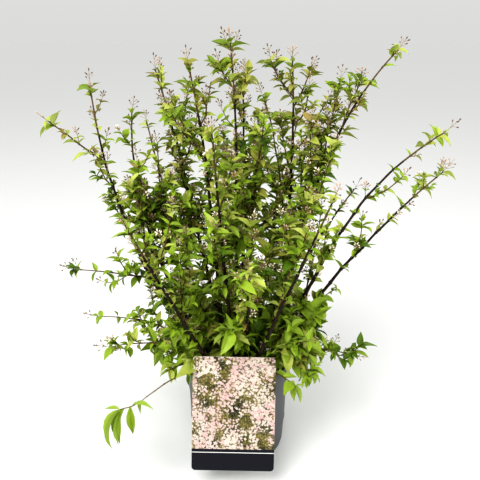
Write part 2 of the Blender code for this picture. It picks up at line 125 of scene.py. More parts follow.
Arm = namedtuple("Arm", "at tip leave arrive")
Cane = namedtuple("Cane", "name ring tip leave arrive bare arms")
CANES = (
    Cane("left_high", "outer", (-0.226, 0.020, 0.662), 34, 2, 0.30, (
        Arm(0.34, (-0.304, 0.000, 0.342), 82, 88),
        Arm(0.75, (-0.302, -0.030, 0.604), 66, 64),
    )),
    Cane("left_mid", "outer", (-0.168, 0.060, 0.618), 30, -10, 0.33, ()),
    Cane("left_tall", "inner", (-0.143, 0.100, 0.680), 20, 22, 0.38, ()),
    Cane("middle_left", "inner", (-0.078, 0.000, 0.698), 3, 12, 0.30, (
        Arm(0.66, (-0.102, -0.040, 0.628), 30, 12),
    )),
    Cane("middle_high", "heart", (-0.012, -0.020, 0.728), 2, 10, 0.34, ()),
    Cane("middle_right", "outer", (0.081, 0.020, 0.700), 10, -4, 0.32, (
        Arm(0.70, (0.160, 0.030, 0.632), 55, 60),
        Arm(0.83, (0.122, 0.045, 0.682), 45, 30),
    )),
    Cane("right_high", "outer", (0.262, 0.030, 0.708), 14, 48, 0.32, (
        Arm(0.72, (0.200, 0.055, 0.668), 22, 15),
    )),
    Cane("right_upper", "outer", (0.330, -0.030, 0.588), 24, 62, 0.36, ()),
    Cane("right_lower", "outer", (0.358, 0.040, 0.516), 32, 52, 0.34, ()),
    Cane("front_left", "outer", (-0.150, -0.185, 0.500), 30, 26, 0.34, ()),
    Cane("front_middle", "inner", (0.015, -0.250, 0.455), 22, 46, 0.34, ()),
    Cane("front_right", "outer", (0.132, -0.180, 0.540), 22, 24, 0.36, ()),
    Cane("front_high", "inner", (-0.035, -0.125, 0.615), 14, 14, 0.34, ()),
    Cane("back_left", "outer", (-0.175, 0.190, 0.585), 30, 20, 0.36, ()),
    Cane("back_middle", "outer", (-0.030, 0.265, 0.545), 26, 38, 0.34, ()),
    Cane("back_right", "outer", (0.120, 0.230, 0.580), 26, 26, 0.36, ()),
    Cane("back_high", "inner", (0.010, 0.130, 0.672), 12, 12, 0.36, ()),
    Cane("back_low", "outer", (0.235, 0.160, 0.455), 34, 52, 0.36, ()),
)
SKIRT = (
    Cane("skirt_left", "skirt", (-0.276, 0.020, 0.238), 22, 100, 0, ()),
    Cane("skirt_left_low", "skirt", (-0.240, -0.050, 0.212), 16, 108, 0, ()),
    Cane("skirt_droop", "skirt", (-0.176, -0.138, 0.150), 6, 128, 0, ()),
    Cane("skirt_front_left", "inner", (-0.118, -0.120, 0.300), 22, 60, 0, ()),
    Cane("skirt_front", "inner", (-0.020, -0.125, 0.300), 24, 62, 0, ()),
    Cane("skirt_front_right", "skirt", (0.135, -0.112, 0.268), 6, 82, 0, ()),
    Cane("skirt_right_low", "skirt", (0.222, -0.030, 0.178), 12, 124, 0, ()),
    Cane("skirt_right", "skirt", (0.205, 0.070, 0.285), 26, 75, 0, ()),
    Cane("skirt_back_right", "skirt", (0.135, 0.175, 0.230), 7, 108, 0, ()),
    Cane("skirt_back", "skirt", (-0.010, 0.205, 0.250), 18, 98, 0, ()),
    Cane("skirt_back_left", "skirt", (-0.150, 0.165, 0.222), 6, 112, 0, ()),
)

# Finer growth
FINE_ARMS = {  # slim shoots that fill the crown between the canes
    "middle_high": (
        Arm(0.30, (0.024, 0.000, 0.602), 30, -4),
        Arm(0.80, (0.015, -0.020, 0.676), 50, 15),
        Arm(0.34, (0.010, -0.060, 0.440), 35, 5),
        Arm(0.36, (0.030, -0.030, 0.400), 50, 5),
    ),
    "middle_left": (
        Arm(0.78, (-0.043, 0.000, 0.647), 55, 30),
        Arm(0.32, (-0.080, -0.040, 0.425), 30, 5),
    ),
    "middle_right": (
        Arm(0.42, (0.028, 0.020, 0.648), 10, 25),
        Arm(0.86, (0.041, 0.020, 0.698), 45, 20),
        Arm(0.78, (0.112, 0.020, 0.662), 55, 10),
        Arm(0.30, (0.046, 0.000, 0.445), -20, 5),
        Arm(0.34, (0.100, -0.040, 0.415), 25, 5),
    ),
    "front_left": (Arm(0.36, (-0.085, -0.100, 0.430), 15, 5),),
    "front_middle": (
        Arm(0.36, (0.040, -0.100, 0.410), 20, 5),
        Arm(0.38, (0.024, -0.070, 0.470), 0, 5),
    ),
    "front_right": (Arm(0.36, (0.106, -0.070, 0.510), 15, 5),),
    "back_left": (Arm(0.36, (-0.135, 0.060, 0.440), 10, 10),),
    "back_middle": (Arm(0.38, (-0.020, 0.150, 0.520), 12, 5),),
    "back_right": (Arm(0.38, (0.075, 0.130, 0.480), 12, 5),),
    "right_high": (
        Arm(0.50, (0.138, 0.020, 0.588), 8, 8),
        Arm(0.36, (0.103, 0.010, 0.560), 5, 5),
        Arm(0.60, (0.160, 0.030, 0.668), 0, 5),
    ),
    "back_high": (
        Arm(0.40, (0.045, 0.120, 0.575), 25, 5),
        Arm(0.38, (0.022, 0.040, 0.450), 20, 5),
    ),
    "left_mid": (
        Arm(0.38, (-0.130, 0.050, 0.570), 10, 5),
        Arm(0.36, (-0.118, 0.000, 0.510), 5, 5),
    ),
    "left_high": (
        Arm(0.34, (-0.165, 0.000, 0.500), 8, 12),
        Arm(0.38, (-0.148, 0.000, 0.505), 4, 10),
        Arm(0.45, (-0.160, 0.020, 0.545), 12, 0),
    ),
    "left_tall": (
        Arm(0.40, (-0.072, 0.020, 0.470), 20, 5),
        Arm(0.38, (-0.112, -0.010, 0.415), 15, 10),
        Arm(0.62, (-0.125, 0.060, 0.625), 0, 5),
    ),
}
FINE_SKIRT = (  # leafy low shoots beside the card that bend down over the rim
    Cane("fine 0", "skirt", (0.115, -0.075, 0.235), 5, 112, 0, ()),
    Cane("fine 1", "skirt", (0.140, -0.060, 0.262), 8, 105, 0, ()),
    Cane("fine 2", "skirt", (0.128, -0.090, 0.205), 2, 128, 0, ()),
    Cane("fine 3", "skirt", (0.162, -0.030, 0.235), 8, 112, 0, ()),
    Cane("fine 4", "skirt", (0.105, -0.095, 0.285), 8, 80, 0, ()),
    Cane("fine 5", "skirt", (0.135, -0.040, 0.305), 10, 75, 0, ()),
    Cane("fine 6", "skirt", (0.118, -0.020, 0.318), 10, 60, 0, ()),
    Cane("fine 7", "skirt", (0.155, -0.060, 0.290), 10, 90, 0, ()),
    Cane("fine 8", "skirt", (-0.105, -0.090, 0.210), 4, 120, 0, ()),
    Cane("fine 9", "skirt", (-0.120, -0.060, 0.250), 8, 105, 0, ()),
    Cane("fine 10", "skirt", (0.168, -0.010, 0.300), 8, 70, 0, ()),
    Cane("fine 11", "skirt", (0.122, -0.050, 0.268), 2, 95, 0, ()),
    Cane("fine 12", "skirt", (-0.092, -0.100, 0.180), 0, 140, 0, ()),
)
SCANT = {  # how full the upper half of a shoot grows, where that isn't 1
    "left_mid": 0.25, "left_mid arm 0": 0.3, "left_high": 0.6, "left_high arm 0": 0.45, "left_high arm 1": 0.3,
    "left_high arm 4": 0.5, "left_tall": 0.8, "left_tall arm 2": 0.35,
    "middle_left": 0.65, "middle_left arm 0": 0.6, "middle_high": 0.75, "middle_high arm 0": 0.7,
    "middle_high arm 1": 0.6, "middle_right": 0.3, "middle_right arm 0": 0.5, "middle_right arm 1": 0.6,
    "middle_right arm 2": 0.3, "middle_right arm 4": 0.6,
    "right_high": 0.50, "right_high arm 3": 0.5, "right_upper": 0.3, "right_lower": 0.6,
    "front_left": 0.3, "front_middle": 0.3, "front_high": 0.7, "front_right": 0.1,
    "back_left": 0.2, "back_right": 0.5, "back_high": 0.6, "back_high arm 0": 0.8, "back_low": 0.1,
    "skirt_left": 0.4, "skirt_left_low": 0.6, "skirt_right": 0.2,
}
JOINT_STEP = 24 * MM  # between the leaf joints of a cane in the thick of the crown
OPEN_STEP = 8 * MM  # more than that on the open outer canes
JOINT_SWELL = 0.45  # how much thicker a joint is than the cane
YOUNG_FROM = 0.84  # the share of a cane's length where its bark is young and red
TWIG_STEP = 11 * MM  # between the leaf pairs of a side twig
STALK_RADIUS = 0.34 * MM
LEAF_BASE = 0.07  # share of a leaf's length that is stalk
THICK_MIDDLE = -0.005  # the middle of the thick of the crown, from left to right
THICK_HALF = (0.10, 0.20)  # it is full up to the first distance from there, and open from the second
THICK_BULGE = 0.05  # how much farther it reaches below its top
THICK_TOP = (0.50, 0.66)  # and full up to the first height, and open from the second
LOW_BARE = (0.22, 0.42)  # canes have few leaves at the first height, and all of them from the second
EDGE_GAP = 22 * MM  # side shoots end this far inside the solids' reach
BARE_SHARE = {  # part of a shoot that has lost its leaves, where that differs from its kind
    "left_high arm 2": (0, 0.3),
    "left_high arm 3": (0, 0.4),
    "skirt_droop": (0.36, 0.95),
    "left_high": (0, 0.26),
    "right_upper": (0, 0.28),
    "right_lower": (0, 0.42),
}
SLIM_SHOOTS = ("skirt_left", "skirt_left_low", "skirt_right_low")  # low shoots as fine as the crown's
CARD_VIEW = 0.33  # how fast the space before the card that stays clear of leaves rises
HANGING_LEAVES = (  # place along the end of the shoot, slant forward, sideways and up, and size
    (0.05, 0.10, 0.30, -1.0, 0.60),
    (0.40, -0.70, -0.25, 0.05, 0.85),
    (0.50, 0.10, -0.25, -1.0, 1.40),
    (0.75, 0.25, 0.15, -1.0, 1.60),
    (0.95, 0.60, -0.10, -1.0, 1.60),
    (1.00, 1.50, 0.10, -1.0, 1.65),
    (1.00, 0.80, 0.50, 0.45, 0.60),
)
HANGING_WIDTH = 0.54  # their width as a share of the other leaves'
SIDE_GROWTH = {"left": 1.0, "middle": 1.0, "right": 1.3, "front": 0.8, "back": 0.5}  # share by part
BIG_LEAVES = 0.14  # share of the leaves that are a third longer than their neighbours
PLACE_SEED = 52
WANDER_SEED = 4  # of the noise that bends the canes, which starts from the clock unless it is set
CANE_ORDER, ARM_ORDER, SIDE_ORDER, LOW_ORDER = range(4)

# Camera fitted to the photograph
CAMERA_PLACE = (0.004, -0.850, 0.713)
CAMERA_PITCH = math.radians(20.6)
PHOTO_SIZE = 480  # pixels
FOCAL_PIXELS = 552
SENSOR_WIDTH = 36.0  # millimetres

# Leaf colours. Grower.tint_for places them so that paler greens outside and higher up are painted light, and deep
# greens inside the crown are painted shade.
LEAF_TINTS = (
    ("leaf fresh", (0.276, 0.386, 0.034)),
    ("leaf lime", (0.402, 0.450, 0.100)),
    ("leaf green", (0.180, 0.270, 0.014)),
    ("leaf deep", (0.080, 0.148, 0.007)),
    ("leaf olive", (0.300, 0.300, 0.062)),
    ("leaf bronze", (0.295, 0.230, 0.065)),
    ("leaf rust", (0.280, 0.145, 0.055)),
)
FRESH, LIME, GREEN, DEEP, OLIVE, BRONZE, RUST = range(len(LEAF_TINTS))
BUD_TINTS = (
    ("bud purple", (0.120, 0.066, 0.045)),
    ("bud rose", (0.430, 0.290, 0.210)),
    ("bud blush", (0.800, 0.680, 0.560)),
)
PURPLE, ROSE, BLUSH = range(len(BUD_TINTS))

Strand = namedtuple("Strand", "points radii")
Leaf = namedtuple("Leaf", "group shape tint matrix")
Bud = namedtuple("Bud", "tint matrix")


class GrowthSettings(bpy.types.PropertyGroup):
    leaf_length: FloatProperty(
        name="Leaf length", description="Length of a full-grown leaf",
        default=0.041, min=0.01, max=0.08, unit="LENGTH")
    leaf_width: FloatProperty(
        name="Leaf width", description="Width of a leaf as a share of its length",
        default=0.44, min=0.1, max=0.9, subtype="FACTOR")
    twig_length: FloatProperty(
        name="Twig length", description="Length of the longest side twigs",
        default=0.046, min=0.01, max=0.12, unit="LENGTH")
    bud_length: FloatProperty(
        name="Bud length", description="Length of a flower bud",
        default=0.0048, min=0.001, max=0.02, unit="LENGTH")
    low_shoots: IntProperty(
        name="Low shoots", description="Number of short leafy shoots round the foot",
        default=60, min=0, max=200)


class FinishSettings(bpy.types.PropertyGroup):
    bark: FloatVectorProperty(
        name="Bark", description="Colour of the old canes", subtype="COLOR",
        default=(0.020, 0.011, 0.006), min=0, max=1)
    young_bark: FloatVectorProperty(
        name="Young bark", description="Colour of the twigs and the canes' ends", subtype="COLOR",
        default=(0.105, 0.066, 0.027), min=0, max=1)
    pot: FloatVectorProperty(
        name="Pot", description="Colour of the pot's plastic", subtype="COLOR",
        default=(0.085, 0.087, 0.092), min=0, max=1)
    compost: FloatVectorProperty(
        name="Compost", description="Colour of the moist compost", subtype="COLOR",
        default=(0.040, 0.026, 0.018), min=0, max=1)
    petals: FloatVectorProperty(
        name="Printed petals", description="Colour of the blossom on the card", subtype="COLOR",
        default=(0.540, 0.330, 0.350), min=0, max=1)
    pale_petals: FloatVectorProperty(
        name="Pale petals", description="Colour of the palest blossom on the card", subtype="COLOR",
        default=(0.600, 0.530, 0.480), min=0, max=1)


class StageSettings(bpy.types.PropertyGroup):
    floor: FloatVectorProperty(
        name="Floor", description="Colour of the floor", subtype="COLOR",
        default=(0.770, 0.770, 0.763), min=0, max=1)
    sky: FloatVectorProperty(
        name="Sky", description="Colour of the light from all around", subtype="COLOR",
        default=(0.965, 0.972, 0.965), min=0, max=1)
    key_power: FloatProperty(
        name="Key light", description="Power of the large soft light above the front",
        default=49.0, min=0, max=500, unit="POWER")


def settings():
    return bpy.context.scene.deutzia_growth


def finish_settings():
    return bpy.context.scene.deutzia_finish


# Mesh helpers


def piece(name, mesh_or_bm, slot, *materials):
    """Links a finished mesh as a piece of the plant with these materials. The slot argument is not used."""
    if isinstance(mesh_or_bm, bmesh.types.BMesh):
        mesh = bpy.data.meshes.new(name)
        mesh_or_bm.to_mesh(mesh)
        mesh_or_bm.free()
    else:
        mesh = mesh_or_bm
        mesh.name = name
    made = bpy.data.objects.new(name, mesh)
    bpy.context.scene.collection.objects.link(made)
    for look in materials:
        mesh.materials.append(look)
    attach(made, "root")
    return made


def spun(profile, steps):
    """A bmesh turned about Z from (radius, height) points that run down its outer side."""
    bm = bmesh.new()
    corners = [bm.verts.new((radius, 0, height)) for radius, height in profile]
    edges = [bm.edges.new(pair) for pair in zip(corners, corners[1:])]
    bmesh.ops.spin(bm, geom=corners + edges, cent=(0, 0, 0), axis=(0, 0, 1),
                   angle=math.tau, steps=steps, use_merge=True, use_duplicate=False)
    bmesh.ops.remove_doubles(bm, verts=bm.verts, dist=1e-6)
    bmesh.ops.recalc_face_normals(bm, faces=bm.faces)
    return bm


def smooth(bm, angle=math.radians(35)):
    for face in bm.faces:
        face.smooth = True
    for edge in bm.edges:
        if len(edge.link_faces) == 2 and edge.calc_face_angle(0) > angle:
            edge.smooth = False
    return bm


def rounded(points, radius, steps=3):
    """The outline with each inner corner rounded by an arc of about this radius."""
    out = [points[0]]
    for before, corner, after in zip(points, points[1:], points[2:]):
        corner = Vector(corner)
        first, second = Vector(before) - corner, Vector(after) - corner
        reach = min(radius, 0.45 * first.length, 0.45 * second.length)
        start = corner + first.normalized() * reach
        end = corner + second.normalized() * reach
        for i in range(steps + 1):
            share = i / steps
            out.append(tuple(start.lerp(corner, share).lerp(corner.lerp(end, share), share)))
    out.append(points[-1])
    return out


def tubes(name, strands, sides):
    """One mesh of tapering tubes with closed ends, one for each strand."""
    curve = bpy.data.curves.new(name, "CURVE")
    curve.dimensions = "3D"
    curve.bevel_depth = MM
    curve.bevel_resolution = (sides - 4) // 2
    curve.use_fill_caps = True
    for strand in strands:
        spline = curve.splines.new("POLY")
        spline.points.add(len(strand.points) - 1)
        spline.points.foreach_set("co", [x for point in strand.points for x in (*point, 1)])
        spline.points.foreach_set("radius", [radius / MM for radius in strand.radii])
        spline.use_smooth = True
    holder = bpy.data.objects.new(name, curve)
    bpy.context.scene.collection.objects.link(holder)
    graph = bpy.context.evaluated_depsgraph_get()
    mesh = bpy.data.meshes.new_from_object(holder.evaluated_get(graph))
    bpy.data.objects.remove(holder)
    bpy.data.curves.remove(curve)
    mesh.materials.clear()
    bm = bmesh.new()
    bm.from_mesh(mesh)
    bmesh.ops.remove_doubles(bm, verts=bm.verts, dist=1e-6)
    bmesh.ops.recalc_face_normals(bm, faces=bm.faces)
    smooth(bm, math.radians(60))
    bm.to_mesh(mesh)
    bm.free()
    return mesh


def roughen(mesh, depth, grain, rise):
    """Moves each vertex along its normal by a noise that is drawn out along Z."""
    placed = [(vertex.co.copy(), vertex.normal.copy()) for vertex in mesh.vertices]
    for vertex, (place, normal) in zip(mesh.vertices, placed):
        spot = Vector((place.x * grain, place.y * grain, place.z * rise))
        vertex.co = place + normal * depth * noise.noise(spot)
    mesh.update()


def as_arrays(bm):
    """A small shape as arrays of its points, its faces' corners and their UVs."""
    bm.verts.index_update()
    layer = bm.loops.layers.uv.active
    corners = [loop for face in bm.faces for loop in face.loops]
    shape = {
        "points": np.array([v.co for v in bm.verts]),
        "corners": np.array([loop.vert.index for loop in corners]),
        "sizes": np.array([len(face.verts) for face in bm.faces]),
        "uvs": np.array([loop[layer].uv if layer else (0, 0) for loop in corners]),
    }
    bm.free()
    return shape


def joined(name, shapes, copies):
    """One mesh of many copies, each given as (number of its shape, matrix, material number)."""
    points, corners, sizes, uvs, looks = [], [], [], [], []
    offset = 0
    for number, shape in enumerate(shapes):
        mine = [(matrix, look) for chosen, matrix, look in copies if chosen == number]
        if not mine:
            continue
        matrices = np.array([matrix for matrix, look in mine])
        count, size = len(mine), len(shape["points"])
        moved = np.einsum("kij,nj->kni", matrices[:, :3, :3], shape["points"])
        moved += matrices[:, None, :3, 3]
        points.append(moved.reshape(-1, 3))
        starts = offset + size * np.arange(count)
        corners.append((shape["corners"][None] + starts[:, None]).ravel())
        sizes.append(np.tile(shape["sizes"], count))
        uvs.append(np.tile(shape["uvs"], (count, 1)))
        looks.append(np.repeat([look for matrix, look in mine], len(shape["sizes"])))
        offset += count * size
    points, corners, sizes, uvs, looks = map(np.concatenate, (points, corners, sizes, uvs, looks))
    mesh = bpy.data.meshes.new(name)
    mesh.vertices.add(len(points))
    mesh.vertices.foreach_set("co", points.ravel())
    mesh.loops.add(len(corners))
    mesh.loops.foreach_set("vertex_index", corners)
    mesh.polygons.add(len(sizes))
    mesh.polygons.foreach_set("loop_start", np.concatenate(([0], np.cumsum(sizes)[:-1])))
    mesh.polygons.foreach_set("material_index", looks)
    mesh.update(calc_edges=True)
    mesh.uv_layers.new(name="UVMap").data.foreach_set("uv", uvs.ravel())
    mesh.shade_smooth()
    return mesh


# Growth: the source's rule


def feet_of(plants):
    """Start point of each cane, on its ring between its tip's bearing and an even place."""
    feet = {}
    for ring, (radius, height) in RINGS.items():
        members = [cane for cane in plants if cane.ring == ring]
        bearing = {cane.name: math.atan2(cane.tip[1], cane.tip[0]) for cane in members}
        members.sort(key=lambda cane: bearing[cane.name])
        step = math.tau / max(1, len(members))
        start = sum(bearing[cane.name] - i * step for i, cane in enumerate(members))
        start /= max(1, len(members))
        for i, cane in enumerate(members):
            own = bearing[cane.name]
            angle = own + EVENNESS * (start + i * step - own)
            feet[cane.name] = Vector(
                (radius * math.cos(angle), radius * math.sin(angle), height)
            )
    return feet


def on_bezier(corners, share):
    first, second, third, last = corners
    rest = 1 - share
    return (first * rest ** 3 + second * (3 * rest * rest * share)
            + third * (3 * rest * share * share) + last * share ** 3)


def sway(start, tip, leave, arrive):
    """Corners of the Bezier curve from start to tip that leaves and arrives at these angles from upright."""
    tip = Vector(tip)
    out = Vector((tip.x - start.x, tip.y - start.y, 0))
    out = out.normalized() if out.length > MM else Vector((1, 0, 0))
    handle = 0.36 * (tip - start).length

    def heading(degrees):
        angle = math.radians(degrees)
        return out * math.sin(angle) + UP * math.cos(angle)

    return start, start + heading(leave) * handle, tip - heading(arrive) * handle, tip


def facing(along, face):
    """Rotation whose Z runs along, and whose Y is the nearest to face."""
    along = along.normalized()
    across = face.cross(along)
    if across.length < 1e-4:
        across = Vector((1, 0, 0)).cross(along)
    across.normalize()
    return Matrix((across, along.cross(across), along)).transposed().to_4x4()


def walk(points, distance):
    """Point and heading at this distance along a line of points."""
    for first, second in zip(points, points[1:]):
        step = (second - first).length
        if distance <= step:
            return first.lerp(second, distance / step), (second - first).normalized()
        distance -= step
    return points[-1], (points[-1] - points[-2]).normalized()


def line_length(points):
    return sum((b - a).length for a, b in zip(points, points[1:]))


def card_place():
    """Matrix that stands the card, made flat round the origin, against the pot's rim."""
    turn = Matrix.Rotation(CARD_TURN, 4, "Y")
    lean = Matrix.Rotation(-CARD_LEAN, 4, "X")
    middle_height = CARD_LOW_EDGE + 0.5 * CARD_HEIGHT * math.cos(CARD_LEAN)
    past_rim = (POT_HEIGHT - middle_height) * math.tan(CARD_LEAN)
    face_gap = (0.5 * CARD_THICK + SEAT) / math.cos(CARD_LEAN)
    middle = Vector((CARD_SHIFT, -POT_RIM_RADIUS - past_rim - face_gap, middle_height))
    return Matrix.Translation(middle) @ lean @ turn


ON_CARD = card_place().inverted()


def blocked(point):
    """True inside the pot's wall or compost, and at or before the card."""
    out = math.hypot(point.x, point.y)
    if point.z < ON_COMPOST + MM and out < POT_RIM_RADIUS + 2 * MM:
        return True
    if point.z < POT_HEIGHT + MM and POT_NECK_RADIUS - 4 * MM < out < POT_RIM_RADIUS + 2 * MM:
        return True
    spot = ON_CARD @ point
    top = 0.5 * CARD_HEIGHT + 2 * MM + CARD_VIEW * max(0.0, -spot.y)
    return (-130 * MM < spot.y < 3 * MM and abs(spot.x) < 0.5 * CARD_WIDTH + 2 * MM
            and -0.5 * CARD_HEIGHT < spot.z < top)


def outside(point):
    """True near or past the edges of the solids' reach."""
    low, high = CAD_BOX
    return any(not low[i] + EDGE_GAP < point[i] < high[i] - EDGE_GAP for i in range(3))


def in_leaf(height):
    """Share of a cane's joints that are in leaf at this height: old wood low down has lost most."""
    low, high = LOW_BARE
    return 0.45 + 0.55 * max(0.0, min(1.0, (height - low) / (high - low)))


def thick(place):
    """How close the growth stands here: 1 in the thick of the crown, 0 on the open outer canes."""
    full, none = THICK_HALF
    bulge = THICK_BULGE * max(0.0, min(1.0, (THICK_TOP[0] + 0.06 - place.z) / 0.08))
    side = (none + bulge - abs(place.x - THICK_MIDDLE)) / (none - full)
    full, none = THICK_TOP
    high = (none - place.z) / (none - full)
    return max(0.0, min(1.0, side)) * max(0.0, min(1.0, high))


class Growth:
    """Everything that has grown, kind by kind."""

    def __init__(self):
        self.canes = []
        self.young = []
        self.twigs = []
        self.stalks = []
        self.leaves = []
        self.buds = []


class Grower:
    """Grows one cane or low shoot with its side shoots, twigs, leaves and buds by a seeded rule."""

    def __init__(self, growth, name, group):
        self.growth = growth
        self.group = group
        self.chance = random.Random(f"{PLACE_SEED} {name}")
        self.tint_chance = random.Random(f"{PLACE_SEED} tint {name}")
        self.pick = self.chance.uniform
        self.due = self.chance.random()
        self.scant = SCANT.get(name, 1.0)

    def jitter(self, size):
        return Vector((self.pick(-size, size), self.pick(-size, size), self.pick(-size, size)))

    def tint_for(self, place, young, low):
        """The colour of a whole spray: fresh outside and below, deep inside, olive and bronze at the top. The paler
        greens outside, higher up and low down are painted light, and the deep greens inside the crown are painted
        shade.
        """
        draw = self.tint_chance.random()
        high = max(0.0, min(1.0, (place.z - 0.44) / 0.18))
        if young > 0.5 and not low and draw < 0.03 + 0.41 * high:
            return OLIVE if draw < 0.33 * high else (BRONZE if draw < 0.42 else RUST)
        depth = math.hypot(place.x - THICK_MIDDLE, place.y) / 0.2
        rise = max(0.0, min(1.0, (place.z - 0.3) / 0.25))
        # Share of the paler tints: painted light outside the crown, higher up and on low shoots; the rest get the
        # darker greens, painted shade inside the crown.
        light = 0.50 + 0.24 * min(1.0, depth) + 0.20 * rise + (0.20 if low else 0.0)
        draw = self.tint_chance.random()
        if draw < (0.78 - 0.23 * rise) * light:
            return FRESH
        if draw < light:
            return LIME
        draw = self.tint_chance.random()
        return GREEN if draw < 0.50 else (DEEP if draw < 0.80 else OLIVE)

    def leaf(self, root, along, length, tint, slim=1.0):
        """One leaf with its upper face turned to the light."""
        if slim == 1.0 and self.chance.random() < BIG_LEAVES:
            length *= 1.33
        if tint in (BRONZE, RUST):
            length *= 0.7
        along = (along + self.jitter(0.2)).normalized()
        face = Matrix.Rotation(self.pick(-0.7, 0.7), 3, along) @ UP
        tip = root + along * length * 0.9 - UP * 0.2 * length
        if blocked(root.lerp(tip, 0.5)) or blocked(tip):
            return
        size = Matrix.Diagonal((slim * length, length, length, 1))
        matrix = Matrix.Translation(root) @ facing(along, face) @ size
        self.growth.leaves.append(Leaf(self.group, self.chance.randrange(LEAF_SHAPES), tint, matrix))

    def pair(self, root, heading, out, length, tint, lift=0.25):
        """Two leaves opposite each other, spreading forward from the twig."""
        for side in (1, -1):
            spread = heading * self.pick(0.3, 0.8) + out * side + UP * (lift + self.pick(-0.25, 0.25))
            self.leaf(root, spread.normalized(), length * self.pick(0.8, 1.12), tint)

    def stalk(self, start, end, radius=STALK_RADIUS):
        self.growth.stalks.append(Strand([start, end], [radius, 0.8 * radius]))

    def bud(self, root, along, size, tint):
        length = settings().bud_length * size
        matrix = (Matrix.Translation(root) @ facing(along, UP)
                  @ Matrix.Diagonal((length, length, length, 1)))
        self.growth.buds.append(Bud(tint, matrix))

    def panicle(self, root, heading, size=1.0, ripe=0.04):
        """A spray of buds: a thin stalk with pairs of side stalks and a bud on each end. Ripe sprays are pale."""
        draw = self.chance.random()
        ripe *= 1 - max(0.0, min(1.0, (root.z - 0.50) / 0.12))
        tint, other = (BLUSH, ROSE) if draw < ripe else ((PURPLE, ROSE) if draw < 0.75 else (ROSE, PURPLE))
        heading = (heading + UP * 0.35 + self.jitter(0.2)).normalized()
        length = self.pick(12, 20) * MM * size
        end = root + heading * length
        self.stalk(root, end, 1.2 * STALK_RADIUS)
        self.bud(end, heading, self.pick(0.8, 1.1), tint)
        out = heading.orthogonal().normalized()
        pairs = self.chance.choice((2, 3, 3)) + 2 * (tint == BLUSH)
        for i in range(pairs):
            out = Matrix.Rotation(math.radians(90 + self.pick(-20, 20)), 3, heading) @ out
            start = root.lerp(end, 0.3 + 0.65 * i / pairs)
            reach = self.pick(4.0, 8.0) * MM * size * (1 - 0.16 * i)
            for side in (1, -1):
                if self.chance.random() < 0.12:
                    continue
                along = (heading * self.pick(0.6, 1.1) + out * side).normalized()
                tip = start + along * reach
                self.stalk(start, tip)
                self.bud(tip, along, self.pick(0.7, 1.0), tint if self.chance.random() < 0.75 else other)

    def twig(self, root, rise, length, young, low):
        """A short side twig that bends up to the light, with leaf pairs and often a spray of buds."""
        tint = self.tint_for(root, young, low)
        bend = (rise + UP * self.pick(0.3, 0.8)).normalized()
        middle = root + rise * 0.55 * length
        end = middle + bend * 0.45 * length
        if blocked(end) or blocked(middle):
            return
        girth = self.pick(0.55, 0.8) * MM
        self.growth.twigs.append(Strand([root, middle, end], [1.2 * girth, girth, 0.7 * girth]))
        pairs = max(1, round(length / TWIG_STEP))
        out = Matrix.Rotation(self.pick(0, math.tau), 3, rise) @ rise.orthogonal().normalized()
        full = settings().leaf_length * (0.80 if low else 0.70) * (1 - 0.12 * young)
        full *= min(1.0, 0.5 + length / (40 * MM))
        for i in range(pairs):
            share = (i + 0.75) / (pairs + 0.25)
            at, heading = walk([root, middle, end], share * length)
            out = Matrix.Rotation(math.radians(90 + self.pick(-15, 15)), 3, heading) @ out
            swell = 0.52 + 0.36 * math.sin(math.pi * (0.15 + 0.7 * share))
            self.pair(at, heading, out, full * swell * self.pick(0.75, 1.15), tint)
        if self.chance.random() < (0.15 if low else 0.35):
            self.panicle(end, bend, self.pick(0.75, 1.05), 1.0 - 0.6 * young)
        else:
            out = Matrix.Rotation(math.radians(90), 3, bend) @ out
            for side in (1, -1):
                self.leaf(end, (bend + out * 0.35 * side).normalized(), full * self.pick(0.35, 0.6), tint)

    def spray(self, root, rise, young):
        """Flower buds on a thin stalk of their own, with two small leaves."""
        bend = (rise + UP * 0.6).normalized()
        end = root + bend * self.pick(6, 15) * MM
        if blocked(end):
            return
        self.growth.twigs.append(Strand([root, end], [0.5 * MM, 0.4 * MM]))
        out = bend.orthogonal().normalized()
        self.pair(root.lerp(end, 0.9), bend, out, settings().leaf_length * 0.32, self.tint_for(root, young, False))
        self.panicle(end, bend, self.pick(0.85, 1.15), 0.95 - 0.8 * young)

    def side_shoot(self, root, rise, length):
        """A long side shoot that leaves a cane, bends up between its neighbours and has joints of its own."""
        middle = root + rise * 0.5 * length
        end = middle + (rise * 0.25 + UP * 0.45 + self.jitter(0.12)) * length
        line = [root.lerp(middle, t).lerp(middle.lerp(end, t), t) for t in (i / 9 for i in range(10))]
        if outside(end) or any(blocked(point) for point in line[2:]):
            return
        self.axis(line, self.pick(1.1, 1.5) * MM, 0.6 * MM, (0, 0.08), SIDE_ORDER)

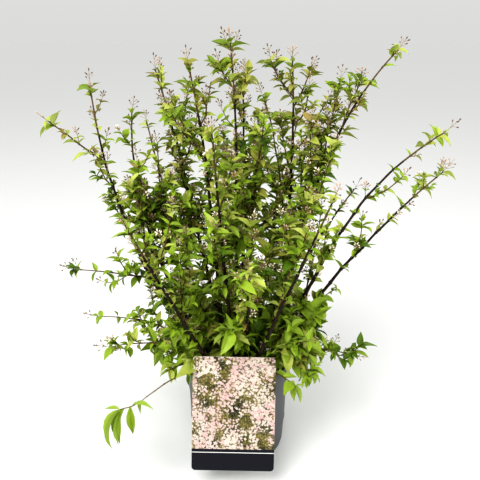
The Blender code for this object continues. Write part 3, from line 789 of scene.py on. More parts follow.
    def joint(self, root, heading, out, share, left, order):
        """A leaf joint: on each side a leaf, and out of its axil a twig or a long side shoot."""
        low = order == LOW_ORDER
        young = share if order == CANE_ORDER else 0.55 + 0.4 * share
        tint = self.tint_for(root, young, low)
        close = thick(root) * SIDE_GROWTH.get(self.group, 1.0)
        leafy = in_leaf(root.z) if order == CANE_ORDER else 1.0
        fullness = 1 - (1 - self.scant) * min(1.0, 2 * share)
        full = settings().leaf_length * (0.80 if low else 0.72) * (1 - 0.06 * young) * (0.5 + 0.5 * fullness)
        for side in (1, -1):
            rise = (heading * 0.8 + out * side * 0.85 + UP * 0.15).normalized()
            draw = self.chance.random() / fullness
            if self.chance.random() > leafy:
                continue
            length = self.pick(45, 130) * MM * (0.45 + 0.55 * close) * (1 - 0.35 * share)
            if order < SIDE_ORDER and left > 60 * MM:
                self.due += 0.36 * close * fullness
            if order < SIDE_ORDER and self.due > 1:
                self.due -= 1
                self.side_shoot(root, rise, length)
            elif not low and draw < 0.30:
                self.spray(root, rise, young)
            elif not low and draw < 0.72:
                self.twig(root, rise, self.pick(7, 20) * MM, young, low)
            elif order < SIDE_ORDER and draw < 0.92:
                self.twig(root, rise, settings().twig_length * self.pick(0.5, 1.0), young, low)
            elif low and draw < 0.26:
                self.twig(root, rise, self.pick(9, 24) * MM, young, low)
            if self.chance.random() < (0.90 if order < SIDE_ORDER else 0.94):
                lift = 0.3 if not low else (0.1 if heading.z > 0.2 else -0.45)
                spread = heading * 0.45 + out * side + UP * lift + self.jitter(0.25)
                self.leaf(root, spread.normalized(), full * self.pick(0.72, 1.14), tint)

    def tip(self, root, heading, out, order):
        """The end of a shoot: two pairs of leaves, and a tall spray of buds on most canes."""
        low = order == LOW_ORDER
        tint = self.tint_for(root, 0.3 + 0.6 * self.chance.random(), low)
        full = settings().leaf_length * (0.80 if low else 0.78) * (0.5 + 0.5 * self.scant)
        lift = -0.35 if low and heading.z < 0.2 else 0.25
        self.pair(root - heading * 9 * MM, heading, out, full, tint, lift)
        across = heading.cross(out).normalized()
        self.pair(root - heading * MM, heading, across, 0.72 * full, tint, lift)
        if order <= ARM_ORDER or self.chance.random() < (0.25 if low else 0.6):
            self.panicle(root, heading, 1.35 if order <= ARM_ORDER else 1.0)

    def hanging_end(self, root, heading, out):
        """The leafy end of a shoot that has bent down: it levels out, and its large leaves hang."""
        level = Vector((heading.x, heading.y, 0)).normalized()
        middle = root + (heading * 0.4 + level * 0.6) * 16 * MM
        end = middle + (level + UP * 0.12) * 18 * MM
        self.growth.young.append(Strand([root, middle, end], [0.9 * MM, 0.8 * MM, 0.6 * MM]))
        across = level.cross(UP)
        for place, forward, sideways, upward, size in HANGING_LEAVES:
            heading = (level * forward + across * sideways + UP * upward).normalized()
            self.leaf(root.lerp(end, place), heading, settings().leaf_length * size, FRESH, HANGING_WIDTH)

    def axis(self, line, start_radius, end_radius, bare, order):
        """A cane or shoot along this line: its bark, and all that grows outside its bare part."""
        length = line_length(line)
        joints = []
        at = length - 13 * MM
        while at > 6 * MM:
            joints.append(at)
            step = (JOINT_STEP + OPEN_STEP * (1 - thick(walk(line, at)[0]))) * (0.8 if order == SIDE_ORDER else 1)
            at -= step * self.pick(0.8, 1.2) * (0.75 if length - at < 50 * MM else 1.0)
        joints.reverse()
        places = {0.0, length}
        for at in joints:
            places |= {max(0.0, at - 2.5 * MM), at, min(length, at + 2.5 * MM), max(0.0, at - 12 * MM)}
        places = sorted(places)
        places = [a for a, b in zip(places, places[1:]) if b - a > 0.4 * MM] + [length]
        bend = self.jitter(1)
        points, radii = [], []
        for at in places:
            point, heading = walk(line, at)
            share = at / length
            wander = noise.noise_vector(bend + point * 22) * 2.4 * MM * math.sin(math.pi * share)
            radius = start_radius + (end_radius - start_radius) * share ** 0.9
            near = min((abs(at - spot) for spot in joints), default=1.0)
            radius *= 1 + JOINT_SWELL * math.exp(-(near / (1.6 * MM)) ** 2)
            points.append(point + wander)
            radii.append(radius)
        split = 0
        if order == CANE_ORDER:
            radii[0] *= CANE_FLARE
            split = next(i for i, at in enumerate(places) if at > YOUNG_FROM * length)
            self.growth.canes.append(Strand(points[:split + 1], radii[:split + 1]))
        self.growth.young.append(Strand(points[split:], radii[split:]))
        turn = self.pick(0, math.tau)
        for at in joints:
            turn += math.radians(90 + self.pick(-14, 14))
            share = at / length
            if bare[0] <= share < bare[1]:
                continue
            root, heading = walk(points, at)
            out = Matrix.Rotation(turn, 3, heading) @ heading.orthogonal().normalized()
            self.joint(root, heading, out, share, length - at, order)
        heading = (points[-1] - points[-2]).normalized()
        out = Matrix.Rotation(turn, 3, heading) @ heading.orthogonal().normalized()
        if bare[1] > 0.85:
            self.hanging_end(points[-1], heading, out)
        else:
            self.tip(points[-1], heading, out, order)


def curve_points(corners, begin, end, step=6 * MM):
    count = max(4, round((corners[3] - corners[0]).length * (end - begin) / step))
    return [on_bezier(corners, begin + (end - begin) * i / count) for i in range(count + 1)]


def grow_cane(growth, cane, foot):
    low = not cane.bare
    grower = Grower(growth, cane.name, "skirt" if low else cane.name.split("_")[0])
    corners = sway(foot + UP * 5 * MM, cane.tip, cane.leave, cane.arrive)
    short = SPRAY_LENGTH / (corners[3] - corners[0]).length
    line = [foot - UP * 1.5 * MM, *curve_points(corners, 0.0, 1 - short)]
    if low:
        bare = BARE_SHARE.get(cane.name, (0, 0.12))
        order = ARM_ORDER if cane.name in SLIM_SHOOTS else LOW_ORDER
        grower.axis(line, SHOOT_RADIUS * 0.8, TIP_RADIUS * 0.7, bare, order)
        return
    bare = BARE_SHARE.get(cane.name, (0, cane.bare * 0.55))
    grower.axis(line, CANE_RADIUS * 1.3, TIP_RADIUS * 1.15, bare, CANE_ORDER)
    for number, arm in enumerate((*cane.arms, *FINE_ARMS.get(cane.name, ()))):
        start = on_bezier(corners, max(arm.at, cane.bare + 0.02))
        bend = sway(start, arm.tip, arm.leave, arm.arrive)
        short = SPRAY_LENGTH / (bend[3] - bend[0]).length
        name = f"{cane.name} arm {number}"
        line = curve_points(bend, 0, 1 - short)
        bare = BARE_SHARE.get(name, (0, 0.06))
        Grower(growth, name, grower.group).axis(line, 1.5 * MM, TIP_RADIUS * 0.8, bare, ARM_ORDER)


def grow_low_shoot(growth, number, count):
    """A short leafy shoot from the foot, upright or leaning out over the rim in turn."""
    grower = Grower(growth, f"low {number}", "skirt")
    bearing = math.tau * (number + grower.pick(-0.3, 0.3)) / count
    out = Vector((math.cos(bearing), math.sin(bearing), 0))
    over = number % 3 == 0
    front = 0.6 if out.y < -0.3 else 1.0
    foot = out * grower.pick(50, 66) * MM + UP * ON_COMPOST
    tip = foot + out * grower.pick(74, 100) * MM + UP * grower.pick(24, 48) * MM
    angles = grower.pick(4, 14), grower.pick(95, 118)
    if not over:
        if number % 3 == 1:
            foot = out * grower.pick(12, 32) * MM + UP * (ON_COMPOST + FOOT_HEIGHT)
        tip = foot + out * grower.pick(18, 80) * MM + UP * grower.pick(60, 160) * MM * front
        angles = grower.pick(0, 20), grower.pick(15, 65)
    line = [foot - UP * MM, *curve_points(sway(foot, tip, *angles), 0.02, 1.0)]
    if any(blocked(point) for point in line[4:]):
        return
    grower.axis(line, 1.3 * MM, 0.6 * MM, (0, 0.1), LOW_ORDER)


@functools.cache
def grown():
    """The whole plant, grown once."""
    noise.seed_set(WANDER_SEED)
    growth = Growth()
    plants = (*CANES, *SKIRT)
    feet = feet_of(plants)
    for cane in plants:
        grow_cane(growth, cane, feet[cane.name])
    for cane in FINE_SKIRT:
        out = Vector((cane.tip[0], cane.tip[1], 0)).normalized()
        grow_cane(growth, cane, out * 60 * MM + UP * (ON_COMPOST - 3 * MM))
    count = settings().low_shoots
    for number in range(count):
        grow_low_shoot(growth, number, count)
    return growth


# Leaf and bud shapes


LEAF_SHAPES = 6


def leaf_shape(number):
    """A leaf of length 1 along Z with its upper face to +Y: folded at its rib, arched and twisted."""
    chance = random.Random(f"{PLACE_SEED} leaf {number}")
    fold = math.tan(math.radians(chance.uniform(20, 40)))
    arch = chance.uniform(0.4, 1.3)
    twist = chance.uniform(-0.35, 0.35)
    half = 0.5 * settings().leaf_width * chance.uniform(0.88, 1.12)
    wave = chance.uniform(0.006, 0.014)
    bm = bmesh.new()
    bmesh.ops.create_grid(bm, x_segments=2, y_segments=8, size=0.5)
    layer = bm.loops.layers.uv.new("UVMap")
    for face in bm.faces:
        for loop in face.loops:
            loop[layer].uv = (loop.vert.co.x + 0.5, loop.vert.co.y + 0.5)
    for vertex in bm.verts:
        side, share = vertex.co.x * 2, vertex.co.y + 0.5
        blade = max(0.0, (share - LEAF_BASE) / (1 - LEAF_BASE))
        width = half * max(0.04 * (share < 0.99), 3.03 * blade ** 0.55 * (1 - blade) ** 1.25)
        across = side * width
        lift = abs(across) * fold + wave * side * math.sin(11 * share)
        turn = Matrix.Rotation(twist * share, 3, "Z")
        offset = turn @ Vector((across, lift, 0))
        angle = arch * share
        spine = Vector((0, -(1 - math.cos(angle)) / arch, math.sin(angle) / arch))
        lean = Matrix.Rotation(angle, 3, "X")
        vertex.co = spine + lean @ offset
    bmesh.ops.remove_doubles(bm, verts=bm.verts, dist=1e-4)
    bmesh.ops.recalc_face_normals(bm, faces=bm.faces)
    if sum((face.normal.y for face in bm.faces)) < 0:
        bmesh.ops.reverse_faces(bm, faces=bm.faces)
    return as_arrays(bm)


def bud_shape():
    """A closed flower bud of length 1, standing on its narrow end."""
    bm = bmesh.new()
    bmesh.ops.create_uvsphere(bm, u_segments=6, v_segments=4, radius=0.5)
    for vertex in bm.verts:
        share = vertex.co.z + 0.5
        girth = 0.50 * (0.72 + 0.45 * share)
        vertex.co = Vector((vertex.co.x * girth, vertex.co.y * girth, share - 0.06))
    return as_arrays(bm)


# Shader helpers


class Net:
    """Short calls that add nodes to a node tree and join them."""

    def __init__(self, tree):
        self.tree = tree

    def add(self, kind, **values):
        node = self.tree.nodes.new(kind)
        for name, value in values.items():
            setattr(node, name, value)
        return node

    def join(self, value, socket):
        if isinstance(value, bpy.types.NodeSocket):
            self.tree.links.new(value, socket)
        else:
            socket.default_value = value

    def math(self, operation, first, second=0.0, third=0.0):
        node = self.add("ShaderNodeMath", operation=operation)
        for value, socket in zip((first, second, third), node.inputs):
            self.join(value, socket)
        return node.outputs[0]

    def band(self, value, low, high):
        """0 below low, 1 above high, and smooth between them."""
        node = self.add("ShaderNodeMapRange", interpolation_type="SMOOTHSTEP")
        for value, socket in zip((value, low, high), node.inputs):
            self.join(value, socket)
        return node.outputs[0]

    def mix(self, share, first, second):
        node = self.add("ShaderNodeMix", data_type="RGBA")
        for value, socket in zip((share, first, second), (node.inputs[0], node.inputs[6], node.inputs[7])):
            self.join(value, socket)
        return node.outputs[2]

    def noise(self, vector, scale, detail=3.0, rough=0.5):
        node = self.add("ShaderNodeTexNoise")
        self.join(vector, node.inputs["Vector"])
        self.join(scale, node.inputs["Scale"])
        self.join(detail, node.inputs["Detail"])
        self.join(rough, node.inputs["Roughness"])
        return node.outputs["Fac"]

    def stretched(self, vector, scale):
        node = self.add("ShaderNodeMapping")
        self.join(vector, node.inputs["Vector"])
        self.join(scale, node.inputs["Scale"])
        return node.outputs[0]


def rgba(colour):
    return (*colour, 1.0)


def new_group(name, inputs, outputs):
    """A shader node group with these sockets, given as (name, kind) pairs."""
    tree = bpy.data.node_groups.new(name, "ShaderNodeTree")
    for label, kind in inputs:
        tree.interface.new_socket(label, in_out="INPUT", socket_type=kind)
    for label, kind in outputs:
        tree.interface.new_socket(label, in_out="OUTPUT", socket_type=kind)
    net = Net(tree)
    return net, net.add("NodeGroupInput").outputs, net.add("NodeGroupOutput").inputs


def new_material(name, roughness, specular=0.5, **plain):
    """A material with a Principled BSDF. Numbers that are even all over are set on the shader."""
    made = bpy.data.materials.new(name)
    made.use_nodes = True
    shader = made.node_tree.nodes["Principled BSDF"]
    shader.inputs["Roughness"].default_value = roughness
    shader.inputs["Specular IOR Level"].default_value = specular
    for label, value in plain.items():
        shader.inputs[label.replace("_", " ")].default_value = value
    return made, Net(made.node_tree), shader


def place_group(net, group, **values):
    node = net.add("ShaderNodeGroup")
    node.node_tree = group
    for label, value in values.items():
        net.join(value, node.inputs[label.replace("_", " ")])
    return node


@functools.cache
def grain_group():
    """Long streaks and small specks, for bark, compost and plastic."""
    net, given, out = new_group(
        "surface grain",
        [("Vector", "NodeSocketVector"), ("Light", "NodeSocketColor"), ("Dark", "NodeSocketColor"),
         ("Stretch", "NodeSocketVector"), ("Scale", "NodeSocketFloat"), ("Specks", "NodeSocketFloat")],
        [("Colour", "NodeSocketColor"), ("Height", "NodeSocketFloat"), ("Roughness", "NodeSocketFloat")])
    drawn = net.stretched(given["Vector"], given["Stretch"])
    coarse = net.noise(drawn, given["Scale"], 5.0, 0.6)
    fine = net.noise(drawn, net.math("MULTIPLY", given["Scale"], 5.0), 3.0, 0.6)
    height = net.math("ADD", coarse, net.math("MULTIPLY", fine, given["Specks"]))
    shade = net.band(height, 0.35, 0.95)
    net.join(net.mix(shade, given["Dark"], given["Light"]), out["Colour"])
    net.join(height, out["Height"])
    net.join(net.math("MULTIPLY_ADD", coarse, 0.3, 0.55), out["Roughness"])
    return net.tree


def grain_material(name, light, dark, stretch, scale, specks, roughness, bump, specular=0.3):
    made, net, shader = new_material(name, roughness, specular)
    place = net.add("ShaderNodeTexCoord").outputs["Object"]
    grain = place_group(net, grain_group(), Vector=place, Light=rgba(light), Dark=rgba(dark),
                        Stretch=stretch, Scale=scale, Specks=specks)
    net.join(grain.outputs["Colour"], shader.inputs["Base Color"])
    net.join(grain.outputs["Roughness"], shader.inputs["Roughness"])
    bumped = net.add("ShaderNodeBump")
    bumped.inputs["Strength"].default_value = 0.6
    bumped.inputs["Distance"].default_value = bump
    net.join(grain.outputs["Height"], bumped.inputs["Height"])
    net.join(bumped.outputs[0], shader.inputs["Normal"])
    return made


@functools.cache
def leaf_group():
    """Rib, side veins and a little unevenness on a leaf whose UV runs from its stalk to its tip."""
    net, given, out = new_group(
        "leaf skin", [("UV", "NodeSocketVector"), ("Place", "NodeSocketVector"), ("Colour", "NodeSocketColor")],
        [("Colour", "NodeSocketColor"), ("Height", "NodeSocketFloat")])
    split = net.add("ShaderNodeSeparateXYZ")
    net.join(given["UV"], split.inputs[0])
    side = net.math("ABSOLUTE", net.math("SUBTRACT", split.outputs["X"], 0.5))
    rib = net.math("SUBTRACT", 1.0, net.band(side, 0.012, 0.055))
    ladder = net.math("MULTIPLY", net.math("SUBTRACT", split.outputs["Y"], net.math("MULTIPLY", side, 0.35)), 9.0)
    away = net.math("ABSOLUTE", net.math("SUBTRACT", net.math("FRACT", ladder), 0.5))
    vein = net.math("SUBTRACT", 1.0, net.band(away, 0.03, 0.13))
    lines = net.math("MAXIMUM", rib, net.math("MULTIPLY", vein, 0.45))
    mottle = net.noise(given["Place"], 70.0, 3.0)
    even = net.add("ShaderNodeHueSaturation")
    net.join(given["Colour"], even.inputs["Color"])
    net.join(net.math("MULTIPLY_ADD", mottle, 0.55, 0.72), even.inputs["Value"])
    pale = net.mix(net.math("MULTIPLY", lines, 0.22), even.outputs[0], (0.52, 0.60, 0.20, 1))
    net.join(pale, out["Colour"])
    net.join(net.math("SUBTRACT", mottle, net.math("MULTIPLY", lines, 0.6)), out["Height"])
    return net.tree


@functools.cache
def leaf_materials():
    """One material for each leaf colour, paler below."""
    made = []
    for name, colour in LEAF_TINTS:
        look, net, shader = new_material(name, 0.48, 0.31)
        where = net.add("ShaderNodeTexCoord")
        skin = place_group(net, leaf_group(), UV=where.outputs["UV"], Place=where.outputs["Object"],
                           Colour=rgba(colour))
        under = tuple(0.62 * part + 0.38 * pale for part, pale in zip(colour, (0.31, 0.42, 0.12)))
        back = net.add("ShaderNodeNewGeometry").outputs["Backfacing"]
        shown = net.mix(net.math("MULTIPLY", back, 0.75), skin.outputs["Colour"], rgba(under))
        net.join(shown, shader.inputs["Base Color"])
        bumped = net.add("ShaderNodeBump")
        bumped.inputs["Strength"].default_value = 0.5
        bumped.inputs["Distance"].default_value = 0.4 * MM
        net.join(skin.outputs["Height"], bumped.inputs["Height"])
        net.join(bumped.outputs[0], shader.inputs["Normal"])
        made.append(look)
    return made


@functools.cache
def bud_materials():
    made = []
    for name, colour in BUD_TINTS:
        look, net, shader = new_material(name, 0.5, 0.4)
        place = net.add("ShaderNodeTexCoord").outputs["Object"]
        shade = net.noise(place, 600.0, 2.0)
        pale = tuple(min(1.0, 0.04 + 1.35 * part) for part in colour)
        net.join(net.mix(shade, rgba(colour), rgba(pale)), shader.inputs["Base Color"])
        made.append(look)
    return made


@functools.cache
def bark_material():
    colour = finish_settings().bark
    return grain_material("bark", [1.9 * x for x in colour], [0.55 * x for x in colour],
                          (1.0, 1.0, 0.16), 900.0, 0.35, 0.75, 0.5 * MM)


@functools.cache
def young_bark_material():
    colour = finish_settings().young_bark
    return grain_material("young bark", [1.5 * x for x in colour], [0.6 * x for x in colour],
                          (1.0, 1.0, 0.2), 700.0, 0.3, 0.6, 0.25 * MM)


@functools.cache
def stalk_material():
    return grain_material("bud stalk", (0.42, 0.33, 0.18), (0.23, 0.16, 0.08),
                          (1.0, 1.0, 0.4), 500.0, 0.3, 0.6, 0.1 * MM)


# The card's print


@functools.cache
def blossom_group():
    """A layer of five-petalled flowers strewn over the card, with its mask."""
    net, given, out = new_group(
        "printed blossom",
        [("Place", "NodeSocketVector"), ("Scale", "NodeSocketFloat"), ("Pale", "NodeSocketColor"),
         ("Rosy", "NodeSocketColor")],
        [("Colour", "NodeSocketColor"), ("Mask", "NodeSocketFloat")])
    cells = net.add("ShaderNodeTexVoronoi", voronoi_dimensions="2D")
    net.join(given["Place"], cells.inputs["Vector"])
    net.join(given["Scale"], cells.inputs["Scale"])
    net.join(0.9, cells.inputs["Randomness"])
    away = net.add("ShaderNodeVectorMath", operation="SUBTRACT")
    net.join(given["Place"], away.inputs[0])
    net.join(cells.outputs["Position"], away.inputs[1])
    split = net.add("ShaderNodeSeparateXYZ")
    net.join(away.outputs[0], split.inputs[0])
    drawn = net.add("ShaderNodeSeparateColor")
    net.join(cells.outputs["Color"], drawn.inputs[0])
    angle = net.math("ARCTAN2", split.outputs["Y"], split.outputs["X"])
    turned = net.math("MULTIPLY_ADD", drawn.outputs[0], 6.28, net.math("MULTIPLY", angle, 2.5))
    petal = net.math("POWER", net.math("ABSOLUTE", net.math("COSINE", turned)), 0.55)
    reach = net.math("MULTIPLY_ADD", petal, 0.26, 0.20)
    share = net.math("DIVIDE", cells.outputs["Distance"], reach)
    mask = net.math("SUBTRACT", 1.0, net.band(share, 0.88, 1.04))
    tone = net.mix(drawn.outputs[1], given["Pale"], given["Rosy"])
    tone = net.mix(net.band(share, 0.2, 1.1), net.mix(0.35, tone, given["Rosy"]), tone)
    heart = net.math("SUBTRACT", 1.0, net.band(cells.outputs["Distance"], 0.05, 0.10))
    net.join(net.mix(heart, tone, (0.55, 0.50, 0.12, 1)), out["Colour"])
    net.join(mask, out["Mask"])
    return net.tree


@functools.cache
def print_material():
    """Pale blossom over leaves, above a plain dark band with a fine pale line."""
    made, net, shader = new_material("card print", 0.38, 0.25, Coat_Weight=0.06, Coat_Roughness=0.25)
    where = net.add("ShaderNodeTexCoord").outputs["UV"]
    sheet = net.stretched(where, (CARD_WIDTH, CARD_HEIGHT, 1.0))
    zone = net.band(net.noise(sheet, 16.0, 2.0), 0.38, 0.60)
    patches = net.noise(sheet, 34.0, 5.0, 0.7)
    specks = net.noise(sheet, 300.0, 4.0, 0.7)
    strewn = net.add("ShaderNodeTexVoronoi", voronoi_dimensions="2D")
    net.join(net.stretched(sheet, (1.0, 0.6, 1.0)), strewn.inputs["Vector"])
    net.join(330.0, strewn.inputs["Scale"])
    drawn = net.add("ShaderNodeSeparateColor")
    net.join(strewn.outputs["Color"], drawn.inputs[0])
    printed_leaf = net.mix(drawn.outputs[0], (0.10, 0.12, 0.025, 1), (0.33, 0.26, 0.08, 1))
    in_leaf_shape = net.math("SUBTRACT", 1.0, net.band(strewn.outputs["Distance"], 0.30, 0.42))
    lit = net.math("MULTIPLY", net.band(patches, 0.40, 0.54), net.band(drawn.outputs[1], 0.0, 0.35))
    ground = net.mix(net.band(patches, 0.36, 0.60), (0.014, 0.022, 0.010, 1), (0.12, 0.10, 0.030, 1))
    ground = net.mix(net.math("MULTIPLY", lit, in_leaf_shape), ground, printed_leaf)
    pale_specks = net.math("MULTIPLY", net.band(specks, 0.46, 0.66), net.math("MULTIPLY_ADD", zone, 0.6, 0.4))
    ground = net.mix(pale_specks, ground, net.mix(zone, (0.34, 0.27, 0.09, 1), (0.52, 0.40, 0.33, 1)))
    petals = finish_settings().petals
    cream = finish_settings().pale_petals
    thin = net.math("MULTIPLY", net.math("SUBTRACT", 1.0, zone), 0.13)
    colour = ground
    for scale, shift, sparse in ((230.0, 0.013, 0.38), (170.0, 0.031, 0.42), (120.0, 0.057, 0.46)):
        moved = net.add("ShaderNodeVectorMath", operation="ADD")
        net.join(sheet, moved.inputs[0])
        moved.inputs[1].default_value = (shift, 2.3 * shift, 0)
        blush = net.band(net.noise(moved.outputs[0], 20.0, 3.0), 0.44, 0.56)
        rosy = net.mix(blush, rgba(cream), rgba(petals))
        layer = place_group(net, blossom_group(), Place=moved.outputs[0], Scale=scale,
                            Pale=rgba(cream), Rosy=rosy)
        edge = net.math("ADD", thin, sparse)
        clump = net.band(net.noise(moved.outputs[0], 42.0, 4.0), edge, net.math("ADD", edge, 0.04))
        colour = net.mix(net.math("MULTIPLY", layer.outputs["Mask"], clump), colour, layer.outputs["Colour"])
    split = net.add("ShaderNodeSeparateXYZ")
    net.join(where, split.inputs[0])
    height = split.outputs["Y"]
    band = net.math("LESS_THAN", height, 0.190)
    colour = net.mix(band, colour, (0.007, 0.007, 0.013, 1))
    rule = net.math("LESS_THAN", net.math("ABSOLUTE", net.math("SUBTRACT", height, 0.160)), 0.0035)
    colour = net.mix(rule, colour, (0.70, 0.70, 0.68, 1))
    net.join(colour, shader.inputs["Base Color"])
    return made


def plastic_material(name, colour, roughness, scuff):
    """Moulded plastic: fine grain, and paler where it is dusty."""
    made, net, shader = new_material(name, roughness, 0.4)
    place = net.add("ShaderNodeTexCoord").outputs["Object"]
    dust = net.band(net.noise(place, 26.0, 5.0, 0.65), 0.45, 0.75)
    pale = tuple(min(1.0, part + scuff) for part in colour)
    net.join(net.mix(dust, rgba(colour), rgba(pale)), shader.inputs["Base Color"])
    net.join(net.math("MULTIPLY_ADD", dust, 0.18, roughness), shader.inputs["Roughness"])
    bumped = net.add("ShaderNodeBump")
    bumped.inputs["Strength"].default_value = 0.25
    bumped.inputs["Distance"].default_value = 0.2 * MM
    net.join(net.noise(place, 1400.0, 2.0), bumped.inputs["Height"])
    net.join(bumped.outputs[0], shader.inputs["Normal"])
    return made


# Pieces


def pot_inner_radius(height):
    """Radius of the pot's inner wall, which follows its outer one."""
    heel, rib = POT_HEEL, POT_RIB
    neck = (POT_NECK_RADIUS, POT_HEIGHT - POT_RIM_DROP)
    (low_radius, low), (high_radius, high) = (heel, rib) if height < rib[1] else (rib, neck)
    share = (height - low) / (high - low)
    return low_radius + (high_radius - low_radius) * share - POT_WALL


def make_pot():
    rib_radius, rib_height = POT_RIB
    rim_base = POT_HEIGHT - POT_RIM_DROP
    outer = rounded([
        (pot_inner_radius(POT_HEIGHT) + 0.3 * MM, POT_HEIGHT),
        (POT_RIM_RADIUS, POT_HEIGHT),
        (POT_RIM_RADIUS - 0.4 * MM, rim_base),
        (POT_NECK_RADIUS, rim_base - 1.5 * MM),
        (rib_radius + 0.4 * MM, rib_height + 2 * MM),
        (rib_radius + 1.2 * MM, rib_height),
        (rib_radius - 0.2 * MM, rib_height - 2 * MM),
        POT_HEEL,
        (POT_FOOT_RADIUS, 0),
        (POT_FOOT_RADIUS - 6 * MM, 0),
    ], 1.4 * MM)
    inner = [
        (pot_inner_radius(POT_FLOOR), POT_FLOOR),
        (pot_inner_radius(rib_height), rib_height),
        (pot_inner_radius(rim_base), rim_base),
        (pot_inner_radius(POT_HEIGHT), POT_HEIGHT - 0.6 * MM),
    ]
    profile = [*outer, (0, 0), (0, POT_FLOOR), *inner, outer[0]]
    bm = smooth(spun(profile, 96))
    look = plastic_material("pot plastic", finish_settings().pot, 0.42, 0.03)
    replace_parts(piece("pot_shell", bm, "pot", look), "pot")


def make_compost():
    """Moist compost: a lumpy surface with crumbs and bits of bark lying on it."""
    bottom = POT_FLOOR + SEAT
    rib_height = POT_RIB[1]
    edge = pot_inner_radius(COMPOST_TOP) - 2 * SEAT
    rings = 26
    top = [(COMPOST_FLAT * i / rings, COMPOST_TOP) for i in range(rings + 1)]
    profile = [*top, (edge, COMPOST_TOP - 3 * MM),
               (pot_inner_radius(rib_height) - 2 * SEAT, rib_height),
               (pot_inner_radius(bottom) - 2 * SEAT, bottom), (0, bottom)]
    bm = spun(profile, 110)
    for vertex in bm.verts:
        if vertex.co.z > COMPOST_TOP - MM:
            lump = noise.noise(vertex.co * 160) + 0.6 * noise.noise(vertex.co * 420)
            vertex.co.z += 1.6 * MM * lump
    look = grain_material("compost", [2.4 * x for x in finish_settings().compost],
                          finish_settings().compost, (1, 1, 1), 260.0, 0.6, 0.9, MM)
    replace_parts(piece("compost_bed", smooth(bm), "compost", look), "compost")

    chance = random.Random(f"{PLACE_SEED} crumbs")
    crumb = bmesh.new()
    bmesh.ops.create_icosphere(crumb, subdivisions=1, radius=1)
    for vertex in crumb.verts:
        vertex.co *= 1 + 0.4 * noise.noise(vertex.co * 2.3)
    copies = []
    for _ in range(1500):
        out, turn = (COMPOST_FLAT + 6 * MM) * math.sqrt(chance.random()), chance.uniform(0, math.tau)
        size = chance.uniform(0.6, 2.2) * MM
        shape = Matrix.Diagonal((size * chance.uniform(1, 2.4), size, size * chance.uniform(0.5, 0.9), 1))
        turned = Matrix.Rotation(chance.uniform(0, math.tau), 4, "Z") @ Matrix.Rotation(chance.uniform(-0.6, 0.6), 4, "X")
        low = 1.5 * MM if out > COMPOST_FLAT else 0
        place = Matrix.Translation((out * math.cos(turn), out * math.sin(turn), COMPOST_TOP + 0.3 * MM - low))
        copies.append((0, place @ turned @ shape, 0 if chance.random() < 0.8 else 1))
    bits = grain_material("bark bits", (0.16, 0.09, 0.05), (0.06, 0.035, 0.02), (1, 1, 1), 300.0, 0.5, 0.85, 0.5 * MM)
    piece("compost_crumbs", joined("compost_crumbs", [as_arrays(crumb)], copies), "compost", look, bits)


def make_card():
    """The printed card with round corners, and the hook behind it over the rim."""
    bm = bmesh.new()
    bmesh.ops.create_cube(bm, size=1, matrix=Matrix.Diagonal((CARD_WIDTH, CARD_THICK, CARD_HEIGHT, 1)))
    upright = [e for e in bm.edges if abs(e.verts[0].co.y - e.verts[1].co.y) > 0.5 * CARD_THICK]
    bmesh.ops.bevel(bm, geom=upright, offset=CARD_CORNER, segments=8, profile=0.5,
                    affect="EDGES", material=-1)
    rims = [e for e in bm.edges if abs(e.verts[0].co.y - e.verts[1].co.y) < 1e-6]
    bmesh.ops.bevel(bm, geom=rims, offset=0.15 * MM, segments=2, profile=0.5,
                    affect="EDGES", material=-1)
    layer = bm.loops.layers.uv.new("UVMap")
    bm.normal_update()
    for face in bm.faces:
        face.material_index = 0 if face.normal.y < -0.9 else 1
        for loop in face.loops:
            spot = loop.vert.co
            loop[layer].uv = (spot.x / CARD_WIDTH + 0.5, spot.z / CARD_HEIGHT + 0.5)
    bm.transform(card_place())
    white = plastic_material("card plastic", (0.74, 0.74, 0.72), 0.4, 0.02)
    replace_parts(piece("picture_card", smooth(bm), "card", print_material(), white), "card")

    wall = pot_inner_radius(POT_HEIGHT)
    top = POT_HEIGHT + 2 * SEAT + CARD_THICK
    leg = -math.sqrt(wall ** 2 - (0.5 * HOOK_WIDTH - CARD_SHIFT) ** 2) + 3 * SEAT + CARD_THICK
    path = rounded([(-POT_RIM_RADIUS, top), (leg, top), (leg, POT_HEIGHT - HOOK_DEPTH)], 2 * MM)
    bm = bmesh.new()
    corners = [bm.verts.new((CARD_SHIFT - 0.5 * HOOK_WIDTH, y, z)) for y, z in path]
    edges = [bm.edges.new(pair) for pair in zip(corners, corners[1:])]
    grown_strip = bmesh.ops.extrude_edge_only(bm, edges=edges)["geom"]
    side = [v for v in grown_strip if isinstance(v, bmesh.types.BMVert)]
    bmesh.ops.translate(bm, verts=side, vec=(HOOK_WIDTH, 0, 0))
    bmesh.ops.recalc_face_normals(bm, faces=bm.faces)
    if bm.faces[0].normal.z < 0:
        bmesh.ops.reverse_faces(bm, faces=bm.faces[:])
    bmesh.ops.solidify(bm, geom=bm.faces[:], thickness=CARD_THICK)
    bmesh.ops.recalc_face_normals(bm, faces=bm.faces)
    piece("card_hook", smooth(bm), "card", white)


